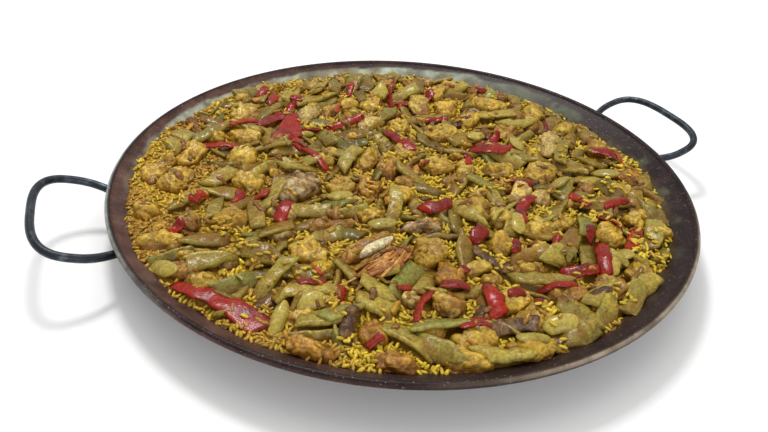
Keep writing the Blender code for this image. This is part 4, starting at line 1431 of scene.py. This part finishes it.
CORE_DEPTH = 3.0 * MM  # of the bed under the top of the rice
CORE_SEGMENTS, CORE_ROWS = 240, 100
CORE_SOAKED = 1.7 * MM  # by which it stands higher where the rice is soaked
GRAIN_PITCH = 7.5 * MM  # between the grains of one round
GRAIN_STRAY = 2  # millimetres that each may lie off its place
GRAIN_ENDS = np.array([-0.4, 0.0, 0.4])  # along a grain, where it meets what is under it
MOST_PITCH = 0.65  # radians that a grain tips
FILL_AIM, FILL_SPREAD = -1.5, 0.8  # millimetres over the rice's level that grains rise to
UNDER_FOOD = 2.4 * MM  # the most that a piece may stand over a grain that is put under it
BARE = 0.2 * MM  # the most that anything stands over rice which counts as bare
MOST_COVER = 1.2 * MM  # over a grain that still shows
ON_FOOD = 4 * MM  # over the rice's level, from where a cluster lies on a topping
CLUSTER_LEAST, CLUSTER_SPAN = 2, 22  # grains
MOST_DROP = 5 * MM  # under the length of a loose grain
ROUND_SINK, LOOSE_SINK = 0.32, 0.25  # of a grain's thickness, into what is under it
ROUND_WAVER, LOOSE_WAVER = 0.2, 0.12  # radians that grains stray from lying flat on it
SHARE_ON_FOOD = 0.3  # of the clusters that fall on toppings, those that stay


def make_core(surface, rice, pan):
    """The bed under the grains, with relief of their size, closed down to the pan's base."""
    wall = wall_line(pan, WALL_STEPS, 0.6 * MM)
    angle = np.linspace(0, 2 * math.pi, CORE_SEGMENTS, endpoint=False)
    radii = (surface.reach - 3 * MM) * np.linspace(1, 0.01, CORE_ROWS)
    x, y = radii[:, None] * np.cos(angle), radii[:, None] * np.sin(angle)
    z = surface.level[surface.cells(x, y)] - CORE_DEPTH
    soaked = wetness(np.stack([x.ravel(), y.ravel()], -1)).reshape(x.shape)
    z += soaked * (CORE_SOAKED + 0.9 * MM * flat_noise(x, y, 16 * MM, 8))
    z = np.maximum(z, wall_height(pan, radii)[:, None] - 0.9 * MM)
    top = np.stack([x, y, z], -1)
    side = turned_rings(wall[wall[:, 0] < radii[0] - 1 * MM], CORE_SEGMENTS)
    floor = [[share * base_radius(), side[0, 0, 2]] for share in (0.05, 0.5)]
    floor = turned_rings(np.array(floor), CORE_SEGMENTS)
    points, faces = capped(np.concatenate([floor, side, top]))
    heap = Heap()
    # The bed is tinted darker than the dry grains as painted shade in the gaps.
    heap.add(points, faces, rice.bed, wetness(points))
    heap.make("rice_core", rice_material("rice bed", rice.bed, 0.3), "rice", "rice_bed")


def grain_shape(columns=6):
    """A plump grain, one unit long, wide and thick, slightly bowed."""
    t = np.array([-0.94, -0.60, 0.0, 0.60, 0.94])[:, None]
    around = np.linspace(0, 2 * math.pi, columns, endpoint=False)[None, :]
    swell = (1 - np.abs(t) ** 3) ** 0.5
    x = 0.5 * t
    y = 0.5 * swell * np.cos(around) + 0.09 * (1 - t**2) - 0.045
    z = 0.5 * swell * np.sin(around)
    return capped(np.stack(np.broadcast_arrays(x, y, z), -1))


def placed_grains(spots):
    """The points and triangles of every grain at (x, y, z, yaw, pitch, roll, length, width,
    thickness)."""
    shape, faces = grain_shape()
    spots = np.asarray(spots)
    points = shape[None] * spots[:, None, 6:9]
    for first, second, column in ((1, 2, 5), (0, 2, 4), (0, 1, 3)):
        c, s = np.cos(spots[:, column])[:, None], np.sin(spots[:, column])[:, None]
        a, b = points[:, :, first].copy(), points[:, :, second].copy()
        points[:, :, first] = a * c - b * s
        points[:, :, second] = a * s + b * c
    points += spots[:, None, :3]
    faces = faces[None] + np.arange(len(spots))[:, None, None] * len(shape)
    return points.reshape(-1, 3), faces.reshape(-1, 3), len(shape)


def sized_grains(rng, rice, number):
    """Lengths, widths and thicknesses for a number of grains."""
    length = rice.grain_length * rng.uniform(0.74, 1.16, number)
    width = rice.grain_width * rng.uniform(0.88, 1.12, number)
    return length, width, 0.84 * width


def rest_grains(heights, surface, rng, rice, x, y, sink, waver):
    """Rows for placed_grains, each lying along the heights under it and sunk in by a share of
    its thickness, and the heights under its ends and middle."""
    length, width, thick = sized_grains(rng, rice, len(x))
    yaw = rng.uniform(0, 2 * math.pi, len(x))
    along = length[:, None] * GRAIN_ENDS
    dx, dy = along * np.cos(yaw)[:, None], along * np.sin(yaw)[:, None]
    under = heights[surface.cells(x[:, None] + dx, y[:, None] + dy)]
    pitch = 0.75 * np.arctan2(under[:, 2] - under[:, 0], 0.8 * length) + rng.normal(0, waver, len(x))
    pitch = np.clip(pitch, -MOST_PITCH, MOST_PITCH)
    z = 0.5 * (under.max(1) + under.mean(1)) + (0.5 - sink) * thick
    roll = rng.normal(0, 0.3, len(x))
    return np.stack([x, y, z, yaw, -pitch, roll, length, width, thick], -1), under


def raise_by_grains(heights, surface, grains):
    """Raises the heights to the tops of grains."""
    u, v = (a.ravel() for a in np.meshgrid(np.linspace(-0.45, 0.45, 8), np.linspace(-0.42, 0.42, 5)))
    x, y, z, yaw, pitch, _, length, width, thick = (column[:, None] for column in grains.T)
    c, s = np.cos(yaw), np.sin(yaw)
    at = surface.cells(x + u * length * c - v * width * s, y + u * length * s + v * width * c)
    dome = np.sqrt(np.clip(1 - (2 * u) ** 2 * 0.9 - (2 * v) ** 2 * 0.9, 0, 1))
    np.maximum.at(heights, at, z - u * length * np.sin(pitch) + 0.5 * thick * dome)


def fill_rice(surface, rng, rice):
    """Drops rounds of grains where the rice stands below its level, each resting on those under
    it. Returns the grains that still show."""
    piled = surface.level - CORE_DEPTH
    drawn = surface.drawn
    dropped = []
    count = int(surface.reach / GRAIN_PITCH) + 2
    steps = np.arange(-count, count + 1) * GRAIN_PITCH
    for _ in range(rice.rounds):
        x, y = (
            a.ravel() + rng.uniform(0, GRAIN_PITCH) + rng.uniform(-GRAIN_STRAY, GRAIN_STRAY, a.size) * MM
            for a in np.meshgrid(steps, steps)
        )
        at = surface.cells(x, y)
        aim = surface.level[at] + rng.normal(FILL_AIM, FILL_SPREAD, len(x)) * MM
        bare = drawn[at] <= surface.level[at] + BARE
        free = (np.hypot(x, y) < surface.reach) & (piled[at] < aim)
        free &= bare | (drawn[at] < piled[at] + UNDER_FOOD)
        free &= surface.wall[at] < np.maximum(piled[at], aim) + 1 * MM
        under = np.maximum(piled, surface.wall)
        grains, _ = rest_grains(under, surface, rng, rice, x[free], y[free], ROUND_SINK, ROUND_WAVER)
        raise_by_grains(piled, surface, grains)
        dropped.append(grains)
    dropped = np.concatenate(dropped)
    cover = np.maximum(piled, drawn)
    seen = np.zeros(len(dropped), bool)
    x, y, z, yaw, _, _, length, _, thick = dropped.T
    for end in GRAIN_ENDS:
        at = surface.cells(x + end * length * np.cos(yaw), y + end * length * np.sin(yaw))
        seen |= z + 0.5 * thick > cover[at] - MOST_COVER
    surface.top = np.where(drawn > surface.level + BARE, cover, piled)
    return dropped[seen]


def loose_grains(surface, rng, rice):
    """Grains that cling to the toppings, in clusters and here and there a grain alone."""
    placed = []
    for _ in range(rice.clusters):
        x, y, _ = any_spot(rng, surface)
        at = surface.cells(x, y)
        on_food = surface.top[at] > surface.level[at] + ON_FOOD
        if on_food and rng.uniform() < 1 - SHARE_ON_FOOD:
            continue
        number = int(CLUSTER_LEAST + CLUSTER_SPAN * rng.uniform() ** 2)
        spread = 1.6 * MM * math.sqrt(number) + 1.5 * MM
        xs, ys = x + rng.normal(0, spread, number), y + rng.normal(0, spread, number)
        grains, under = rest_grains(surface.top, surface, rng, rice, xs, ys, LOOSE_SINK, LOOSE_WAVER)
        steady = np.ptp(under, axis=1) < MOST_DROP
        grains = grains[steady & (np.hypot(xs, ys) < surface.radius)]
        raise_by_grains(surface.top, surface, grains)
        placed.append(grains)
    return np.concatenate(placed)


def make_rice(surface, rng, rice, pan):
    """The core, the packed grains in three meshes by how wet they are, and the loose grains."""
    make_core(surface, rice, pan)
    packed = fill_rice(surface, rng, rice)
    loose = loose_grains(surface, rng, rice)
    wet = wetness(packed)
    third = np.quantile(wet, [0.33, 0.66])
    for name, grains in (
        ("rice_dry", packed[wet < third[0]]),
        ("rice_moist", packed[(wet >= third[0]) & (wet < third[1])]),
        ("rice_soaked", packed[wet >= third[1]]),
        ("rice_loose", loose),
    ):
        points, faces, each = placed_grains(grains)
        shade = np.repeat(rng.uniform(0.70, 1.20, len(grains)), each)[:, None]
        soaked = wetness(points)[:, None]
        patches = smooth(-0.35, 0.6, flat_noise(points[:, 0], points[:, 1], 34 * MM, 6))[:, None]
        own = np.repeat(rng.normal(0, 0.22, len(grains)), each)[:, None]
        share = np.clip(0.45 * soaked + 0.65 * patches + own, 0, 1)
        tint = (np.array(rice.dry) * (1 - share) + np.array(rice.soaked) * share) * shade
        heap = Heap()
        heap.add(points, faces, tint, soaked[:, 0])
        heap.make(name, rice_material(name.replace("_", " "), rice.soaked, 0.24), "rice")


# ---------------------------------------------------------------- scraps

SCRAPS_REACH = 266 * MM  # from the middle of the pan


def make_scraps(surface, rng, looks):
    """Shreds and crumbs of everything, between the larger pieces."""
    kinds = (
        ("bean", 0.21, pod_material(looks.sauce), (looks.bean, looks.bean_brown, looks.sauce)),
        ("chicken", 0.76, crust_material(looks.sauce, looks.crust),
         (looks.golden, linear("8a5a24"), linear("b5832f"))),
        ("pepper", 0.03, pepper_material(looks.sauce), (looks.pepper, linear("b8481c"))),
    )
    for slot, share, material, colours in kinds:
        heap = Heap()
        for _ in range(int(looks.scraps * share)):
            reach = SCRAPS_REACH * math.sqrt(rng.uniform())
            angle = rng.uniform(0, 2 * math.pi)
            spot = (reach * math.cos(angle), reach * math.sin(angle))
            size = rng.uniform(6, 15) * MM
            if slot == "chicken":
                size *= 0.75
                width = size * rng.uniform(0.3, 0.8)
                points, faces, _ = chunk(rng, 1.3 * size, width, 0.35 * size, 6, 0.7, SMALL_BLOCK)
            else:
                end = size * rng.uniform(0.3, 0.6)
                points, faces = strip(rng, size * 1.4, size * 0.4, end, 2.2 * MM, rows=9)
            world = surface.lay(points, *spot, rng.uniform(0, math.pi), 0.3, 0.5)
            tint = np.array(colours[rng.integers(len(colours))]) * rng.uniform(0.55, 1.05)
            heap.add(world, faces, tint, wetness(world))
            surface.cover(world, faces)
        heap.make("scraps_" + slot, material, slot)


# ---------------------------------------------------------------- stage

CAMERA_AIM = (-15.5 * MM, -90.2 * MM)  # in the food's layout, at the height of the rim
CAMERA_DISTANCE = 746.6 * MM  # from the middle of the rim
CAMERA_RISE = math.radians(30.64)  # above the level of the rim
CAMERA_ROLL = math.radians(3.4)
CAMERA_LENS = 32.87  # millimetres
CAMERA_SENSOR = 36
CAMERA_FAR = 20  # metres

FLOOR_REACH = 6.0  # metres to each side
FLOOR_DROP = 0.4 * MM  # keeps the floor out of the flat underside
FLOOR_GREY = 0.94
SKY = 0.58  # strength of the even light from all round

# Each light's name, azimuth and elevation in degrees, distance, size, watts and colour.
LIGHTS = (
    ("overhead", 100, 80, 2.2, 1.8, 11, (1.0, 0.98, 0.95)),
    ("glint", 116, 66, 2.2, 0.42, 23, (1, 1, 1)),
    ("fill", 292, 24, 2.4, 1.2, 15, (1, 1, 1)),
)


def make_camera():
    """A camera in front of the layout, which looks down on the food."""
    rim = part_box("pan")[1].z
    turn = Matrix.Rotation(LAYOUT_TURN, 3, "Z")
    back = Vector((0, -math.cos(CAMERA_RISE), math.sin(CAMERA_RISE))) * CAMERA_DISTANCE
    aim = turn @ Vector((*CAMERA_AIM, 0)) + Vector((0, 0, rim))
    data = bpy.data.cameras.new("camera")
    data.lens = CAMERA_LENS
    data.sensor_width = CAMERA_SENSOR
    data.clip_end = CAMERA_FAR
    camera = bpy.data.objects.new("camera", data)
    bpy.context.scene.collection.objects.link(camera)
    camera.location = turn @ back + Vector((0, 0, rim))
    facing = (aim - camera.location).to_track_quat("-Z", "Y")
    camera.rotation_mode = "QUATERNION"
    camera.rotation_quaternion = facing @ Matrix.Rotation(CAMERA_ROLL, 3, "Z").to_quaternion()
    bpy.context.scene.camera = camera


def make_light(name, azimuth, elevation, distance, size, power, colour):
    """A square soft light that faces the pan from a bearing in the food's layout."""
    data = bpy.data.lights.new(name, "AREA")
    data.size = size
    data.energy = power
    data.color = colour
    light = bpy.data.objects.new(name, data)
    bpy.context.scene.collection.objects.link(light)
    a, e = math.radians(azimuth) + LAYOUT_TURN, math.radians(elevation)
    away = Vector((math.cos(a) * math.cos(e), math.sin(a) * math.cos(e), math.sin(e)))
    light.location = away * distance
    light.rotation_euler = away.to_track_quat("Z", "Y").to_euler()


def make_stage():
    """A plain pale floor, soft light from above and all round, and the camera."""
    scene = bpy.context.scene
    scene.view_settings.view_transform = "Standard"
    mesh = bpy.data.meshes.new("floor")
    corners = [(x * FLOOR_REACH, y * FLOOR_REACH, 0) for x, y in ((-1, -1), (1, -1), (1, 1), (-1, 1))]
    mesh.from_pydata(corners, [], [(0, 1, 2, 3)])
    material, _, shader = new_material("painted floor", 0.9)
    shader.inputs["Base Color"].default_value = (FLOOR_GREY, FLOOR_GREY, FLOOR_GREY, 1)
    mesh.materials.append(material)
    floor = bpy.data.objects.new("floor", mesh)
    scene.collection.objects.link(floor)
    floor.location.z = -FLOOR_DROP
    world = bpy.data.worlds.new("studio")
    scene.world = world
    world.use_nodes = True
    sky = world.node_tree.nodes["Background"]
    sky.inputs["Color"].default_value = (1, 1, 1, 1)
    sky.inputs["Strength"].default_value = SKY
    for light in LIGHTS:
        make_light(*light)
    make_camera()


# ---------------------------------------------------------------- the add-on

SHARED = {}


def surface_and_rng(stream):
    """The food's surface, made once, and a repeatable stream of draws for one operator."""
    if "surface" not in SHARED:
        SHARED["surface"] = Surface(bpy.context.scene.paella_pan)
    return SHARED["surface"], np.random.default_rng(SEED + stream)


class PAELLA_OT_pan(bpy.types.Operator):
    """Makes the pan"""

    bl_idname = "paella.pan"
    bl_label = "Pan"

    def execute(self, context):
        make_pan(context.scene.paella_pan)
        return {"FINISHED"}


class PAELLA_OT_handles(bpy.types.Operator):
    """Makes the rod handles"""

    bl_idname = "paella.handles"
    bl_label = "Handles"

    def execute(self, context):
        pan = context.scene.paella_pan
        material = rod_material(pan.rod_steel, linear("5d6a70"))
        for name in HANDLE_TURNS:
            make_handle(name, pan, material)
        return {"FINISHED"}


class PAELLA_OT_chicken(bpy.types.Operator):
    """Lays the chicken"""

    bl_idname = "paella.chicken"
    bl_label = "Chicken"

    def execute(self, context):
        make_chicken(*surface_and_rng(1), context.scene.paella_toppings)
        return {"FINISHED"}


class PAELLA_OT_beans(bpy.types.Operator):
    """Lays the flat beans and tucks more into the gaps"""

    bl_idname = "paella.beans"
    bl_label = "Flat beans"

    def execute(self, context):
        make_beans(*surface_and_rng(2), context.scene.paella_toppings)
        return {"FINISHED"}


class PAELLA_OT_limas(bpy.types.Operator):
    """Lays the lima beans"""

    bl_idname = "paella.limas"
    bl_label = "Lima beans"

    def execute(self, context):
        make_limas(*surface_and_rng(3), context.scene.paella_toppings)
        return {"FINISHED"}


class PAELLA_OT_aubergine(bpy.types.Operator):
    """Lays the charred aubergine skin"""

    bl_idname = "paella.aubergine"
    bl_label = "Aubergine skin"

    def execute(self, context):
        make_aubergine(*surface_and_rng(4), context.scene.paella_toppings)
        return {"FINISHED"}


class PAELLA_OT_peppers(bpy.types.Operator):
    """Lays the red pepper"""

    bl_idname = "paella.peppers"
    bl_label = "Red pepper"

    def execute(self, context):
        make_peppers(*surface_and_rng(5), context.scene.paella_toppings)
        return {"FINISHED"}


class PAELLA_OT_rice(bpy.types.Operator):
    """Fills the pan with rice and drops loose grains on the toppings"""

    bl_idname = "paella.rice"
    bl_label = "Rice"

    def execute(self, context):
        make_rice(*surface_and_rng(6), context.scene.paella_rice, context.scene.paella_pan)
        return {"FINISHED"}


class PAELLA_OT_scraps(bpy.types.Operator):
    """Scatters scraps of every topping"""

    bl_idname = "paella.scraps"
    bl_label = "Scraps"

    def execute(self, context):
        make_scraps(*surface_and_rng(7), context.scene.paella_toppings)
        return {"FINISHED"}


class PAELLA_OT_stage(bpy.types.Operator):
    """Makes the floor, the lights and the camera"""

    bl_idname = "paella.stage"
    bl_label = "Stage"

    def execute(self, context):
        make_stage()
        return {"FINISHED"}


OPERATORS = (
    PAELLA_OT_stage,
    PAELLA_OT_pan,
    PAELLA_OT_handles,
    PAELLA_OT_chicken,
    PAELLA_OT_beans,
    PAELLA_OT_limas,
    PAELLA_OT_aubergine,
    PAELLA_OT_peppers,
    PAELLA_OT_scraps,
    PAELLA_OT_rice,
)


class PAELLA_PT_panel(bpy.types.Panel):
    """Lists the paella's settings and its operators"""

    bl_idname = "PAELLA_PT_panel"
    bl_label = "Paella"
    bl_space_type = "VIEW_3D"
    bl_region_type = "UI"
    bl_category = "Paella"

    def draw(self, context):
        for key in GROUPS:
            box = self.layout.box()
            group = getattr(context.scene, key)
            for name in group.__annotations__:
                box.prop(group, name)
        for operator in OPERATORS:
            self.layout.operator(operator.bl_idname)


def register():
    for group in GROUPS.values():
        bpy.utils.register_class(group)
    for key, group in GROUPS.items():
        setattr(bpy.types.Scene, key, bpy.props.PointerProperty(type=group))
    for operator in OPERATORS:
        bpy.utils.register_class(operator)
    bpy.utils.register_class(PAELLA_PT_panel)


def unregister():
    bpy.utils.unregister_class(PAELLA_PT_panel)
    for operator in reversed(OPERATORS):
        bpy.utils.unregister_class(operator)
    for key in GROUPS:
        delattr(bpy.types.Scene, key)
    for group in reversed(GROUPS.values()):
        bpy.utils.unregister_class(group)


def main():
    register()
    for operator in OPERATORS:
        space, name = operator.bl_idname.split(".")
        getattr(getattr(bpy.ops, space), name)()


if __name__ == "__main__":
    main()
